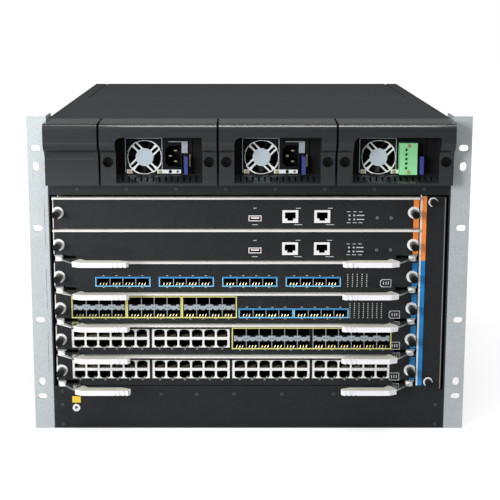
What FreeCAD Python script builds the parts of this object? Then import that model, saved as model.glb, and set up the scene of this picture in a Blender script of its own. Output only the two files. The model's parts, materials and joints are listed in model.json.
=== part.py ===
"""Modular chassis switch: an eight-unit rack chassis with plug-in supplies, line cards and a fan tray.

Frame: origin at the middle of the base, +X to the right seen from the front, +Y to the back, +Z up.
All lengths are in millimetres. Depths in front of the front plane are called "proud" lengths.
"""
import FreeCAD, Part
import math
import os

V = FreeCAD.Vector

# ---------------------------------------------------------------- rack and case
RACK_WIDTH = 482.6              # outer width across the ears
EAR_WIDTH = 21.3                # from the case's side to an ear's outer edge
RACK_UNIT_HEIGHT = 44.45
UNIT_COUNT = 8
UNIT_PLAY = 0.8                 # the front is this much lower than its rack units
CASE_DEPTH = 440.0
SHEET = 1.5                     # folded case sheet
TOUCH_GAP = 0.3                 # between parts that slide past each other

# ---------------------------------------------------------------- rack ears
EAR_SHEET = 2.0
EAR_SIDE_FLANGE = 34.0          # how far an ear runs back along the case
RACK_HOLE_INSET = 8.75          # a hole column from its ear's outer edge
RACK_SLOT_LENGTH = 10.3
RACK_SLOT_HEIGHT = 6.8
RACK_SLOT_TOP = 34.5            # first slot's centre below the ear's top
RACK_SLOT_OUTER_STEP = 88.9
RACK_SLOT_INNER_STEP = 104.775
EAR_OVAL_WIDTH = 7.4
EAR_OVAL_HEIGHT = 9.6
EAR_OVAL_INSET = 55.0           # each oval's centre from the ear's nearer end
EAR_NOTCH_WIDTH = 4.6
EAR_NOTCH_HEIGHT = 45.0
EAR_NOTCH_PITCH = 72.5
EAR_NOTCH_RISE = 67.5           # bottom of the lowest recess
EAR_NOTCH_DEPTH = 0.6
EAR_NOTCH_COUNT = 3

# ---------------------------------------------------------------- card cage
LOWER_PANEL_HEIGHT = 50.5
LOWER_PANEL_FOLD = 12.0
SLOT_PITCH = 36.07
SLOT_COUNT = 6
CONTROL_SLOTS = 2               # the top slots take control cards
FIRST_LEVER_SLOT = 2            # cards from this slot down have ejector levers
FIBRE_SLOT = 3
MIXED_SLOT = 4
COMBO_SLOT = 5
CARD_END_GAP = 4.4              # from the case's outer face to a card's end
CARD_GAP = 0.8                  # between neighbouring panels
CARD_DEPTH = 312.0              # board length
PANEL_SHEET = 2.0
PANEL_LIP_DEPTH = 5.0           # bright lip along a panel's top edge
PANEL_LIP_HEIGHT = 2.2
PANEL_NOTCH_WIDTH = 24.0        # lower corner cut for a lever
PANEL_NOTCH_HEIGHT = 6.0
BOARD_SHEET = 1.6
BOARD_TOP = 5.5                 # board's upper face above its slot's bottom
BOARD_END_INSET = 2.6
BOARD_RELIEF = 4.0              # depth of the front corners cut away behind the levers
GUIDE_SHEET = 1.5
GUIDE_HOLD = 2.0                # how far a ledge reaches over a board's edge
GUIDE_SLACK = 0.4
GUIDE_SETBACK = 16.0
GUIDE_WINDOW_LENGTH = 86.0
GUIDE_WINDOW_HEIGHT = 18.0
GUIDE_WINDOW_PITCH = 96.0
GUIDE_WINDOW_COUNT = 2
BACKPLANE_SHEET = 3.2
MATING_GAP = 0.5
CONNECTOR_WIDTH = 60.0
CONNECTOR_HEIGHT = 14.0
CONNECTOR_LENGTH = 10.0
CONNECTOR_PITCH = 120.0
CONNECTOR_COUNT = 3
HEAT_SINK_SIZE = 48.0
HEAT_SINK_HEIGHT = 16.0
HEAT_SINK_BASE = 3.0
HEAT_SINK_FINS = 6
HEAT_SINK_FIN = 2.0
HEAT_SINK_SETBACK = 150.0

# ---------------------------------------------------------------- captive thumbscrews
THUMB_INSET = 5.6               # from a card's end to the screw's axis
THUMB_DISC_RADIUS = 6.6
THUMB_DISC_HEIGHT = 1.2
THUMB_KNOB_RADIUS = 4.1
THUMB_KNOB_PROUD = 15.5
THUMB_RECESS = 1.6
THUMB_SLOT_WIDTH = 1.4
THUMB_CROSS = 5.0               # length of the cross recess's arms

# ---------------------------------------------------------------- ejector levers
LEVER_GRIP_LOW = 0.6            # above the slot's bottom
LEVER_GRIP_HEIGHT = 5.6
LEVER_GRIP_FRONT = 34.0         # proud of the panel
LEVER_GRIP_REAR = 23.5
LEVER_GRIP_START = 24.3         # from the card's end
LEVER_GRIP_END = 85.2
LEVER_GRIP_NOTCHES = 3
LEVER_NOTCH_PITCH = 5.0
LEVER_NOTCH_WIDTH = 1.6
LEVER_NOTCH_DEPTH = 1.2
LEVER_NOTCH_START = 6.0         # first notch from the grip's free end
LEVER_NOSE_LENGTH = 8.4         # slanted nose over the arm
LEVER_NOSE_DEPTH = 4.0
LEVER_TIP_LENGTH = 2.6          # small slant at the free end
LEVER_TIP_DEPTH = 3.0
LEVER_TIP_FLAT = 3.0            # straight part of the free end
LEVER_BACK_SLOPE = 10.0         # the back slants in this far from the free end
LEVER_WEB_LENGTH = 13.6         # the back widens into a web within this of the arm
LEVER_WEB_DEPTH = 6.9
LEVER_WEB_STEP = 7.2
LEVER_WEB_FRONT = 6.0
LEVER_ARM_SHEET = 2.0
LEVER_ARM_LOW = 2.2
LEVER_PIVOT_INSET = 6.1         # from the card's end
LEVER_PIVOT_PROUD = 1.0
LEVER_BOSS_RADIUS = 4.2
LEVER_PIN_RADIUS = 1.5
PIN_CLEARANCE = 0.08
LEVER_BRACKET_SHEET = 1.5
LEVER_BRACKET_SIZE = 9.0

# ---------------------------------------------------------------- ports
PORT_PROUD = 0.6
PORT_BLOCK_DEPTH = 26.0
PORT_MARGIN = 2.0               # frame beyond the end ports
CUT_CLEARANCE = 0.15            # panel cut-out round a port block
SFP_PITCH = 14.25
SFP_WIDTH = 12.6
SFP_HEIGHT = 8.3
SFP_DEPTH = 24.0
SFP_RIM = 1.4
SFP_BAND = 5.6                  # shield band between the two rows of a stacked cage
SFP_BASE = 6.6                  # cage's lower edge above the slot's bottom
RJ_PITCH = 13.97
RJ_WIDTH = 11.8
RJ_HEIGHT = 6.9
RJ_LATCH_WIDTH = 6.2
RJ_LATCH_HEIGHT = 2.4
RJ_DEPTH = 13.0
RJ_RIM = 1.2
RJ_WEB = 1.8                    # between the two rows
RJ_BASE = 7.8
FIBRE_INSET = 45.3              # card 3: four groups of small fibre ports
FIBRE_GROUP_GAP = 9.2           # between one group of ports and the next
FIBRE_GROUPS = 4
GROUP_COLUMNS = 4
MIXED_INSET = 18.3              # card 4: three stacked groups, then two single rows
MIXED_GROUP_GAP = 0.3
MIXED_STACKS = 3
MIXED_GAP = 1.6
MIXED_SINGLES = 2
COPPER_INSET = 17.0             # cards 5 and 6: stacked copper groups
COPPER_GROUP_GAP = 1.78
COPPER_COLUMNS = 6
COPPER_GROUPS = 4
COMBO_COPPER_GROUPS = 2
COMBO_COLUMNS = 12
COMBO_SPLIT = 3.2               # extra width in the middle of the long stack
PORT_END_GAP = 26.0             # least distance from the last port to the card's right end
CONTROL_USB_X = 221.8           # control cards: port centres from the card's left end
CONTROL_USB_Z = 11.7
USB_WIDTH = 14.2
USB_HEIGHT = 6.4
USB_WALL = 0.9
USB_DEPTH = 14.0
CONTROL_JACK_X = 260.4
CONTROL_JACK_PITCH = 35.0
CONTROL_JACKS = 2
JACK_WIDTH = 17.4
JACK_HEIGHT = 14.3
JACK_BASE = 6.8
JACK_PROUD = 1.5

# ---------------------------------------------------------------- fan tray and its bay
BLADE_WIDTH = 20.9
BLADE_DROP = 4.5                # the blade reaches this far below the cage
BLADE_SIDE_GAP = 0.6
LABEL_STRIP_WIDTH = 4.8
LABEL_STRIP_SHEET = 0.4
LABEL_STRIP_EDGE = 0.4          # strip's inset from the wall's bright edge
WALL_SHEET = 1.6
WALL_CARD_GAP = 1.4
TRAY_FAN_SIZE = 94.0
TRAY_FAN_BORE = 45.0
TRAY_FAN_COLUMNS = 2
TRAY_FAN_ROWS = 2
TRAY_FRAME_SIDE = 17.0          # thickness of the fan frame
TRAY_FRAME_MARGIN = 16.0        # frame beyond its fans, both ends together
TRAY_FLOOR_PLAY = 0.5
TRAY_HUB_RADIUS = 21.0
TRAY_STRUT = 3.0
TRAY_SHAFT_RADIUS = 2.0
TRAY_THUMB_INSET = 6.3
TRAY_THUMB_END = 6.2
TRAY_THUMB_DISC = 5.2
TRAY_THUMB_KNOB = 4.0
TRAY_THUMB_PROUD = 8.0

# ---------------------------------------------------------------- power bays
BAND_GAP = 1.6                  # between the top card and the band above it
BAND_HEIGHT = 13.2
SUPPLY_RISE = 10.3              # supply's underside above the bezel's lower edge
SUPPLY_COUNT = 3
SUPPLY_WIDTH = 73.5
SUPPLY_HEIGHT = 40.0
SUPPLY_LENGTH = 185.0
SUPPLY_SHIFT = 0.414            # share of the window's spare width that is left of the supply
SUPPLY_HEADROOM = 19.0          # from the supply's top to the case's top
BLANK_WIDTH = 58.9              # the blank bezel at the left
BULKHEAD_PLAY = 0.8
FIN_SHEET = 1.2
FIN_HEIGHT = 30.0
FIN_GAP = 1.0
FIN_SETBACK = 4.0
SUPPLY_FAN_X = 21.7             # fan axis from the supply's left side
SUPPLY_FAN_Z = 18.3
SUPPLY_FAN_BORE = 18.0
SUPPLY_FAN_DEPTH = 15.0
SUPPLY_HUB_RADIUS = 9.75
SUPPLY_STRUT = 1.8
SUPPLY_STRUT_COUNT = 4
SUPPLY_SHAFT_RADIUS = 1.5
BLADE_COUNT = 7
FAN_BLADE_PITCH = 40.0          # degrees from the plane of rotation
FAN_BLADE_CHORD = 1.15          # of the rotor's length
FAN_BLADE_SHEET = 1.0
FAN_RUN_GAP = 0.8
INLET_X = 52.5
INLET_Z = 19.7
INLET_WIDTH = 16.8
INLET_HEIGHT = 23.4
INLET_RIM = 1.4
INLET_DEPTH = 17.0
INLET_CHAMFER = 4.5
INLET_PROUD = 1.0
INLET_PIN = 1.8
INLET_PIN_HEIGHT = 4.0
LATCH_X = 66.0
LATCH_LOW = 1.2
LATCH_HEIGHT = 19.5
LATCH_SHEET = 2.2
LATCH_PROUD = 12.0
LATCH_PIVOT_DEPTH = 13.0
LATCH_POCKET_WIDTH = 7.0
LATCH_POCKET_DEPTH = 16.5
LATCH_PIN_RADIUS = 1.0
LATCH_BARREL_RADIUS = 2.2
LATCH_PAD_WIDTH = 4.0
TERMINAL_X = 43.2
TERMINAL_WIDTH = 19.0
TERMINAL_HEIGHT = 34.5
TERMINAL_RISE = 0.5
TERMINAL_PROUD = 10.0
TERMINAL_POLES = 5
TERMINAL_PITCH = 5.0
TERMINAL_HOLE = 1.6
TERMINAL_HOLE_INSET = 7.2
TERMINAL_FLOOR = 2.5
SUPPLY_BOARD_GAP = 10.0

# ---------------------------------------------------------------- moulded bezels
BEZEL_WALL = 2.5
BEZEL_LOWER_PROUD = 16.5
BEZEL_UPPER_PROUD = 27.5
BEZEL_SWEEP_LOW = 28.3          # where the front starts to sweep out, above the bezel's lower edge
BEZEL_SWEEP_HEIGHT = 20.0
BEZEL_ROUND = 5.5
BEZEL_CROWN = 1.2               # fall of the top from its back edge to the round
BEZEL_TOP_OVERLAP = 12.0        # how far the top runs back over the case
BEZEL_SLIT = 2.4
WINDOW_INSET = 17.7             # from the bay's left edge
WINDOW_END = 16.73              # from its right edge to the bay's right edge
WINDOW_RISE = 2.6
WINDOW_HEIGHT = 51.0
WINDOW_CORNER = 7.0
SILL_HEIGHT = 6.6
SILL_BACK = 3.0
VENT_PITCH = 6.6
VENT_WIDTH = 1.9
SILL_VENT_LOW = 1.4
SILL_VENT_HEIGHT = 4.0
LOUVRE_WIDTH = 3.4
LOUVRE_FRONT = 20.0
LOUVRE_BACK = 6.0
BEZEL_SCREW_INSET = 9.3
BEZEL_SCREW_RISE = 25.8
BEZEL_RECESS_RADIUS = 5.75
BEZEL_BOSS_WALL = 1.6
BEZEL_FLOOR = 2.5
BEZEL_SCREW_RADIUS = 2.0
BEZEL_SCREW_HEAD = 3.9
BEZEL_SCREW_HEAD_HEIGHT = 2.2

# ---------------------------------------------------------------- covers, vents, small parts
COVER_SEAM = 236.0              # seam behind the front plane
SEAM_GAP = 0.5
SIDE_FLANGE = 12.0
GROOVE_INSET = 14.5
GROOVE_WIDTH = 3.0
GROOVE_DEPTH = 0.8
SIDE_VENT_LENGTH = 26.0
SIDE_VENT_HEIGHT = 5.0
SIDE_VENT_PITCH_Y = 33.0
SIDE_VENT_PITCH_Z = 12.02
SIDE_VENT_COLUMNS = 6
SIDE_VENT_ROWS = 9
SIDE_VENT_SETBACK = 40.0
REAR_VENT_WIDTH = 4.0
REAR_VENT_HEIGHT = 30.0
REAR_VENT_PITCH = 9.0
REAR_VENT_COUNT = 7
SCREW_HEAD_RADIUS = 2.1
SCREW_HEAD_HEIGHT = 0.9
BAND_SCREW_INSET = 32.0         # from the case's left face
BAND_SCREW_END = 25.0           # least distance from the case's right face
BAND_SCREW_PITCH = 54.1
LOWER_SCREW_X = (59.0, 121.0, 161.0, 203.0, 257.0, 315.0)
LOWER_SCREW_DROP = 10.0
SIDE_SCREW_INSET = 10.0
SIDE_SCREW_Z = (5.0, 28.0, 44.0)
COVER_SCREW_SPREAD = 170.0
JACK_SOCKET_X = 25.4            # earth socket, from the case's left face
JACK_SOCKET_Z = 24.6
JACK_SOCKET_BORE = 2.0
JACK_SOCKET_BODY = 3.4
JACK_SOCKET_FLANGE = 4.2
JACK_SOCKET_PROUD = 1.6
JACK_SOCKET_LENGTH = 16.0

# ---------------------------------------------------------------- places worked out from the sizes
CASE_WIDTH = RACK_WIDTH - 2 * EAR_WIDTH
FRONT = -CASE_DEPTH / 2
BACK = CASE_DEPTH / 2
LEFT = -CASE_WIDTH / 2
RIGHT = CASE_WIDTH / 2
EAR_HEIGHT = UNIT_COUNT * RACK_UNIT_HEIGHT - UNIT_PLAY
CAGE_TOP = LOWER_PANEL_HEIGHT + SLOT_COUNT * SLOT_PITCH
BAND_LOW = CAGE_TOP + BAND_GAP
BEZEL_LOW = BAND_LOW + BAND_HEIGHT
SUPPLY_LOW = BEZEL_LOW + SUPPLY_RISE
SUPPLY_TOP = SUPPLY_LOW + SUPPLY_HEIGHT
CASE_TOP = SUPPLY_TOP + SUPPLY_HEADROOM
COVER_LOW = CASE_TOP - SHEET
SHELF_TOP = SUPPLY_LOW - TOUCH_GAP
SHELF_LOW = SHELF_TOP - SHEET
INNER_LEFT = LEFT + SHEET
INNER_RIGHT = RIGHT - SHEET
COVER_FRONT = FRONT + BEZEL_TOP_OVERLAP
SEAM_Y = FRONT + COVER_SEAM
CARD_LEFT = LEFT + CARD_END_GAP
BLADE_RIGHT = RIGHT - CARD_END_GAP
BLADE_LEFT = BLADE_RIGHT - BLADE_WIDTH
STRIP_RIGHT = BLADE_LEFT - BLADE_SIDE_GAP
STRIP_LEFT = STRIP_RIGHT - LABEL_STRIP_WIDTH
WALL_LEFT = STRIP_LEFT - LABEL_STRIP_EDGE - WALL_SHEET
CARD_RIGHT = WALL_LEFT - WALL_CARD_GAP
CARD_MIDDLE = (CARD_LEFT + CARD_RIGHT) / 2
BOARD_FRONT = FRONT + PANEL_SHEET
BOARD_BACK = BOARD_FRONT + CARD_DEPTH
BACKPLANE_Y = BOARD_BACK + MATING_GAP + CONNECTOR_LENGTH
GUIDE_LEFT = INNER_LEFT + GUIDE_SHEET
BAY_WIDTH = (CASE_WIDTH - BLANK_WIDTH) / SUPPLY_COUNT
WINDOW_WIDTH = BAY_WIDTH - WINDOW_INSET - WINDOW_END
VENT_COUNT = int(WINDOW_WIDTH / VENT_PITCH - 1)
TRAY_FRAME_LENGTH = TRAY_FAN_ROWS * TRAY_FAN_SIZE + TRAY_FRAME_MARGIN


# ---------------------------------------------------------------- helpers
def box(x0, x1, y0, y1, z0, z1):
    """A box between two corners."""
    return Part.makeBox(x1 - x0, y1 - y0, z1 - z0, V(x0, y0, z0))


def proud(length):
    """The Y of a point that stands this far in front of the front plane."""
    return FRONT - length


def rod_y(x, y0, y1, z, radius):
    """A cylinder along Y."""
    return Part.makeCylinder(radius, y1 - y0, V(x, y0, z), V(0, 1, 0))


def rod_z(x, y, z0, z1, radius):
    """A cylinder along Z."""
    return Part.makeCylinder(radius, z1 - z0, V(x, y, z0), V(0, 0, 1))


def rod_x(x0, x1, y, z, radius):
    """A cylinder along X."""
    return Part.makeCylinder(radius, x1 - x0, V(x0, y, z), V(1, 0, 0))


def join(shapes):
    """One clean solid from shapes that touch or overlap."""
    shapes = list(shapes)
    if len(shapes) == 1:
        return shapes[0]
    return shapes[0].multiFuse(shapes[1:]).removeSplitter()


def carve(shape, tools):
    """The shape with every tool cut away."""
    tools = list(tools)
    return shape.cut(tools) if tools else shape


def plate_from(points, thickness, z):
    """A flat plate: an outline of (x, y) corners, extruded up from z."""
    wire = Part.makePolygon([V(x, y, z) for x, y in points + points[:1]])
    return Part.Face(wire).extrude(V(0, 0, thickness))


def prism_x(edges, x0, x1):
    """A closed run of edges drawn at X = 0, extruded from x0 to x1."""
    face = Part.Face(Part.Wire(edges))
    face.translate(V(x0, 0, 0))
    return face.extrude(V(x1 - x0, 0, 0))


def side_point(proud_length, z):
    """A point of a side profile, at X = 0."""
    return V(0, proud(proud_length), z)


def line(a, b):
    """A straight edge."""
    return Part.LineSegment(a, b).toShape()


def arc(a, middle, b):
    """A circular edge through three points."""
    return Part.Arc(a, middle, b).toShape()


def obround(x, z, width, height, y0, y1):
    """A slot cutter with round ends, through Y from y0 to y1."""
    radius = min(width, height) / 2
    reach_x = width / 2 - radius
    reach_z = height / 2 - radius
    ends = [rod_y(x + side * reach_x, y0, y1, z + side * reach_z, radius) for side in (-1, 1)]
    if reach_x > reach_z:
        middle = box(x - reach_x, x + reach_x, y0, y1, z - radius, z + radius)
    else:
        middle = box(x - radius, x + radius, y0, y1, z - reach_z, z + reach_z)
    return join(ends + [middle])


def slot_bottom(slot):
    """The lower boundary of a slot, counted from 1 at the top."""
    return CAGE_TOP - slot * SLOT_PITCH


def bay_left(bay):
    """The left edge of a power bay, counted from 0 at the left."""
    return LEFT + BLANK_WIDTH + bay * BAY_WIDTH


def supply_left(bay):
    """The left side of the supply in a bay."""
    return bay_left(bay) + WINDOW_INSET + (WINDOW_WIDTH - SUPPLY_WIDTH) * SUPPLY_SHIFT


def export(name, shape):
    """Write one node's STEP file."""
    shape.exportStep(f"parts/{name}.step")


# ---------------------------------------------------------------- case
def side_vents(x0, x1):
    """Cutters for the air slots of one side wall."""
    first_z = LOWER_PANEL_HEIGHT + (SLOT_COUNT * SLOT_PITCH - SIDE_VENT_ROWS * 2 * SIDE_VENT_PITCH_Z) / 2
    cutters = []
    for column in range(SIDE_VENT_COLUMNS):
        y = FRONT + SIDE_VENT_SETBACK + column * SIDE_VENT_PITCH_Y
        for row in range(SIDE_VENT_ROWS):
            z = first_z + (2 * row + 1) * SIDE_VENT_PITCH_Z - SIDE_VENT_HEIGHT / 2
            cutters.append(box(x0, x1, y, y + SIDE_VENT_LENGTH, z, z + SIDE_VENT_HEIGHT))
    return cutters


def main_shell():
    """Base and both sides in one folded sheet, with an inward flange along each top edge."""
    base = box(LEFT, RIGHT, FRONT, BACK, 0, SHEET)
    pieces = [base]
    for outer, inner, flange in ((LEFT, INNER_LEFT, LEFT + SIDE_FLANGE),
                                 (RIGHT, INNER_RIGHT, RIGHT - SIDE_FLANGE)):
        low, high = sorted((outer, inner))
        pieces.append(box(low, high, FRONT, BACK, 0, COVER_LOW))
        low, high = sorted((outer, flange))
        pieces.append(box(low, high, COVER_FRONT + SHEET + TOUCH_GAP, BACK - SHEET,
                          COVER_LOW - SHEET, COVER_LOW))
    vents = side_vents(LEFT - SHEET, INNER_LEFT + SHEET) + side_vents(INNER_RIGHT - SHEET, RIGHT + SHEET)
    return carve(join(pieces), vents)


def rear_wall():
    """Back sheet, with air slots behind each supply."""
    wall = box(INNER_LEFT, INNER_RIGHT, BACK - SHEET, BACK, SHEET, COVER_LOW)
    cutters = []
    for bay in range(SUPPLY_COUNT):
        middle = supply_left(bay) + SUPPLY_WIDTH / 2
        for index in range(REAR_VENT_COUNT):
            x = middle + (index - (REAR_VENT_COUNT - 1) / 2) * REAR_VENT_PITCH - REAR_VENT_WIDTH / 2
            z = (SUPPLY_LOW + SUPPLY_TOP - REAR_VENT_HEIGHT) / 2
            cutters.append(box(x, x + REAR_VENT_WIDTH, BACK - 2 * SHEET, BACK + SHEET,
                               z, z + REAR_VENT_HEIGHT))
    return carve(wall, cutters)


def top_cover():
    """Front top sheet, joggled and folded down into the bulkhead that the supplies pass through."""
    cover = box(LEFT, RIGHT, COVER_FRONT, SEAM_Y, COVER_LOW, CASE_TOP)
    step = box(INNER_LEFT, INNER_RIGHT, FRONT, COVER_FRONT + SHEET, COVER_LOW - SHEET, COVER_LOW)
    bulkhead = box(INNER_LEFT, INNER_RIGHT, FRONT, FRONT + SHEET, SHELF_TOP, COVER_LOW)
    cutters = []
    for bay in range(SUPPLY_COUNT):
        left = supply_left(bay)
        cutters.append(box(left - BULKHEAD_PLAY, left + SUPPLY_WIDTH + BULKHEAD_PLAY, FRONT - SHEET,
                           FRONT + 2 * SHEET, SHELF_TOP - SHEET, SUPPLY_TOP + BULKHEAD_PLAY))
        for x in bezel_screw_places(bay):
            cutters.append(rod_y(x, FRONT - SHEET, FRONT + 2 * SHEET, BEZEL_LOW + BEZEL_SCREW_RISE,
                                 BEZEL_SCREW_RADIUS))
    return carve(join([cover, step, bulkhead]), cutters)


def rear_top_plate():
    """Rear top sheet, with a long groove near each side."""
    plate = box(LEFT, RIGHT, SEAM_Y + SEAM_GAP, BACK, COVER_LOW, CASE_TOP)
    grooves = []
    for x in (LEFT + GROOVE_INSET, RIGHT - GROOVE_INSET - GROOVE_WIDTH):
        grooves.append(box(x, x + GROOVE_WIDTH, SEAM_Y, BACK + SHEET, CASE_TOP - GROOVE_DEPTH, CASE_TOP + SHEET))
    return carve(plate, grooves)


def power_shelf():
    """Shelf of the power bays, folded down at its front into a band, with a guide fin beside each supply."""
    pieces = [box(INNER_LEFT, INNER_RIGHT, FRONT, BACK - SHEET, SHELF_LOW, SHELF_TOP),
              box(INNER_LEFT, INNER_RIGHT, FRONT, FRONT + SHEET, BAND_LOW, SHELF_TOP)]
    for bay in range(SUPPLY_COUNT):
        left = supply_left(bay)
        for x in (left - FIN_GAP - FIN_SHEET, left + SUPPLY_WIDTH + FIN_GAP):
            pieces.append(box(x, x + FIN_SHEET, FRONT + FIN_SETBACK, FRONT + SUPPLY_LENGTH,
                              SHELF_TOP, SHELF_TOP + FIN_HEIGHT))
    return join(pieces)


def lower_front_panel():
    """Front sheet under the cards, folded back along its top, with a notch for the fan tray's blade."""
    top = LOWER_PANEL_HEIGHT - CARD_GAP / 2
    sheet = box(INNER_LEFT, INNER_RIGHT, FRONT, FRONT + SHEET, SHEET, top)
    fold = box(INNER_LEFT, INNER_RIGHT, FRONT, FRONT + LOWER_PANEL_FOLD, top - SHEET, top)
    notch = box(BLADE_LEFT - BLADE_SIDE_GAP, INNER_RIGHT + SHEET, FRONT - SHEET, FRONT + 2 * LOWER_PANEL_FOLD,
                LOWER_PANEL_HEIGHT - BLADE_DROP - TOUCH_GAP, LOWER_PANEL_HEIGHT)
    socket = rod_y(LEFT + JACK_SOCKET_X, FRONT - SHEET, FRONT + 2 * SHEET, JACK_SOCKET_Z, JACK_SOCKET_BODY)
    return carve(join([sheet, fold]), [notch, socket])


def rack_slot_heights():
    """Heights of the four rack slots, from the top down."""
    steps = (0, RACK_SLOT_OUTER_STEP, RACK_SLOT_INNER_STEP, RACK_SLOT_OUTER_STEP)
    heights = []
    z = EAR_HEIGHT - RACK_SLOT_TOP
    for step in steps:
        z -= step
        heights.append(z)
    return heights


def rack_ear(side):
    """Folded rack ear, on the left for side -1 and on the right for side 1."""
    edge = side * RACK_WIDTH / 2
    corner = side * CASE_WIDTH / 2
    low, high = sorted((edge, corner))
    front = box(low, high, FRONT, FRONT + EAR_SHEET, 0, EAR_HEIGHT)
    low, high = sorted((corner, corner + side * EAR_SHEET))
    flange = box(low, high, FRONT, FRONT + EAR_SIDE_FLANGE, 0, EAR_HEIGHT)
    hole_x = side * (RACK_WIDTH / 2 - RACK_HOLE_INSET)
    through = (FRONT - EAR_SHEET, FRONT + 2 * EAR_SHEET)
    cutters = []
    for z in rack_slot_heights():
        cutters.append(obround(hole_x, z, RACK_SLOT_LENGTH, RACK_SLOT_HEIGHT, *through))
    for z in (EAR_OVAL_INSET, EAR_HEIGHT - EAR_OVAL_INSET):
        cutters.append(obround(hole_x, z, EAR_OVAL_WIDTH, EAR_OVAL_HEIGHT, *through))
    if side < 0:
        for index in range(EAR_NOTCH_COUNT):
            z = EAR_NOTCH_RISE + index * EAR_NOTCH_PITCH
            cutters.append(box(corner - EAR_NOTCH_WIDTH, corner, FRONT - EAR_SHEET, FRONT + EAR_NOTCH_DEPTH,
                               z, z + EAR_NOTCH_HEIGHT))
    return carve(join([front, flange]), cutters)


def guide_windows(x0, x1):
    """Cutters for the air windows in a guide wall, one row for each slot."""
    cutters = []
    for slot in range(1, SLOT_COUNT + 1):
        z = slot_bottom(slot) + SLOT_PITCH / 2 - GUIDE_WINDOW_HEIGHT / 2 + BOARD_TOP / 2
        for column in range(GUIDE_WINDOW_COUNT):
            y = FRONT + 2 * GUIDE_SETBACK + column * GUIDE_WINDOW_PITCH
            cutters.append(box(x0, x1, y, y + GUIDE_WINDOW_LENGTH, z, z + GUIDE_WINDOW_HEIGHT))
    return cutters


def guide_ledges(x0, x1):
    """The pairs of ledges that hold each board's edge."""
    ledges = []
    for slot in range(1, SLOT_COUNT + 1):
        board_top = slot_bottom(slot) + BOARD_TOP
        above = board_top + GUIDE_SLACK
        below = board_top - BOARD_SHEET - GUIDE_SLACK - GUIDE_SHEET
        for z in (above, below):
            ledges.append(box(x0, x1, FRONT + GUIDE_SETBACK, BOARD_BACK, z, z + GUIDE_SHEET))
    return ledges


def left_card_guide():
    """Guide wall on the cards' left, with its card ledges as separate strips against its face."""
    wall = box(INNER_LEFT, GUIDE_LEFT, FRONT + GUIDE_SETBACK, BACKPLANE_Y + 2 * BACKPLANE_SHEET,
               LOWER_PANEL_HEIGHT, CAGE_TOP)
    ledges = guide_ledges(GUIDE_LEFT, CARD_LEFT + BOARD_END_INSET + GUIDE_HOLD)
    wall = carve(wall, guide_windows(INNER_LEFT - GUIDE_SHEET, GUIDE_LEFT + GUIDE_SHEET))
    return Part.makeCompound([wall] + ledges)


def fan_bay_wall():
    """Wall between the cards and the fan tray, with its front strip and the ledge pairs against it as separate solids."""
    back = BACKPLANE_Y + 2 * BACKPLANE_SHEET
    wall = box(WALL_LEFT, WALL_LEFT + WALL_SHEET, FRONT + SHEET, back, LOWER_PANEL_HEIGHT, SHELF_LOW)
    edge = box(WALL_LEFT, STRIP_RIGHT, FRONT, FRONT + SHEET, LOWER_PANEL_HEIGHT, CAGE_TOP)
    ledges = guide_ledges(CARD_RIGHT - BOARD_END_INSET - GUIDE_HOLD, WALL_LEFT)
    wall = carve(wall, guide_windows(WALL_LEFT - WALL_CARD_GAP / 2, WALL_LEFT + WALL_SHEET + TOUCH_GAP))
    return Part.makeCompound([wall, edge] + ledges)


def tray_rails():
    """The two rails, under and over the fan frame, that the tray slides on."""
    rails = []
    for z in (LOWER_PANEL_HEIGHT, CAGE_TOP - WALL_SHEET):
        rails.append(box(WALL_LEFT + WALL_SHEET, BLADE_RIGHT, FRONT + PANEL_SHEET + TOUCH_GAP,
                         FRONT + PANEL_SHEET + TRAY_FRAME_LENGTH, z, z + WALL_SHEET))
    return Part.makeCompound(rails)


def slot_label_strip():
    """Thin colour strip that marks the slots, on the wall's front edge."""
    return box(STRIP_LEFT, STRIP_RIGHT, FRONT - LABEL_STRIP_SHEET, FRONT, LOWER_PANEL_HEIGHT, CAGE_TOP)


def connector_blocks(y0, y1, slot):
    """The row of backplane connectors of one slot."""
    z = slot_bottom(slot) + BOARD_TOP
    blocks = []
    for index in range(CONNECTOR_COUNT):
        x = CARD_MIDDLE + (index - (CONNECTOR_COUNT - 1) / 2) * CONNECTOR_PITCH
        blocks.append(box(x - CONNECTOR_WIDTH / 2, x + CONNECTOR_WIDTH / 2, y0, y1, z, z + CONNECTOR_HEIGHT))
    return blocks


def backplane():
    """Backplane board between the guide walls, with the connectors that the cards plug into."""
    board = box(GUIDE_LEFT, WALL_LEFT, BACKPLANE_Y, BACKPLANE_Y + BACKPLANE_SHEET,
                LOWER_PANEL_HEIGHT, CAGE_TOP)
    blocks = []
    for slot in range(1, SLOT_COUNT + 1):
        blocks += connector_blocks(BACKPLANE_Y - CONNECTOR_LENGTH, BACKPLANE_Y, slot)
    return join([board] + blocks)


def power_backplane():
    """Power board behind the supplies, standing on the shelf."""
    y = FRONT + SUPPLY_LENGTH + SUPPLY_BOARD_GAP
    left = supply_left(0)
    right = supply_left(SUPPLY_COUNT - 1) + SUPPLY_WIDTH
    board = box(left, right, y, y + BACKPLANE_SHEET, SHELF_TOP, SUPPLY_TOP)
    blocks = []
    for bay in range(SUPPLY_COUNT):
        x = supply_left(bay) + SUPPLY_WIDTH / 2
        blocks.append(box(x - CONNECTOR_WIDTH / 2, x + CONNECTOR_WIDTH / 2, y - SUPPLY_BOARD_GAP + MATING_GAP, y,
                          SUPPLY_LOW + SUPPLY_HEIGHT / 4, SUPPLY_LOW + SUPPLY_HEIGHT / 4 + CONNECTOR_HEIGHT))
    return join([board] + blocks)


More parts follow.
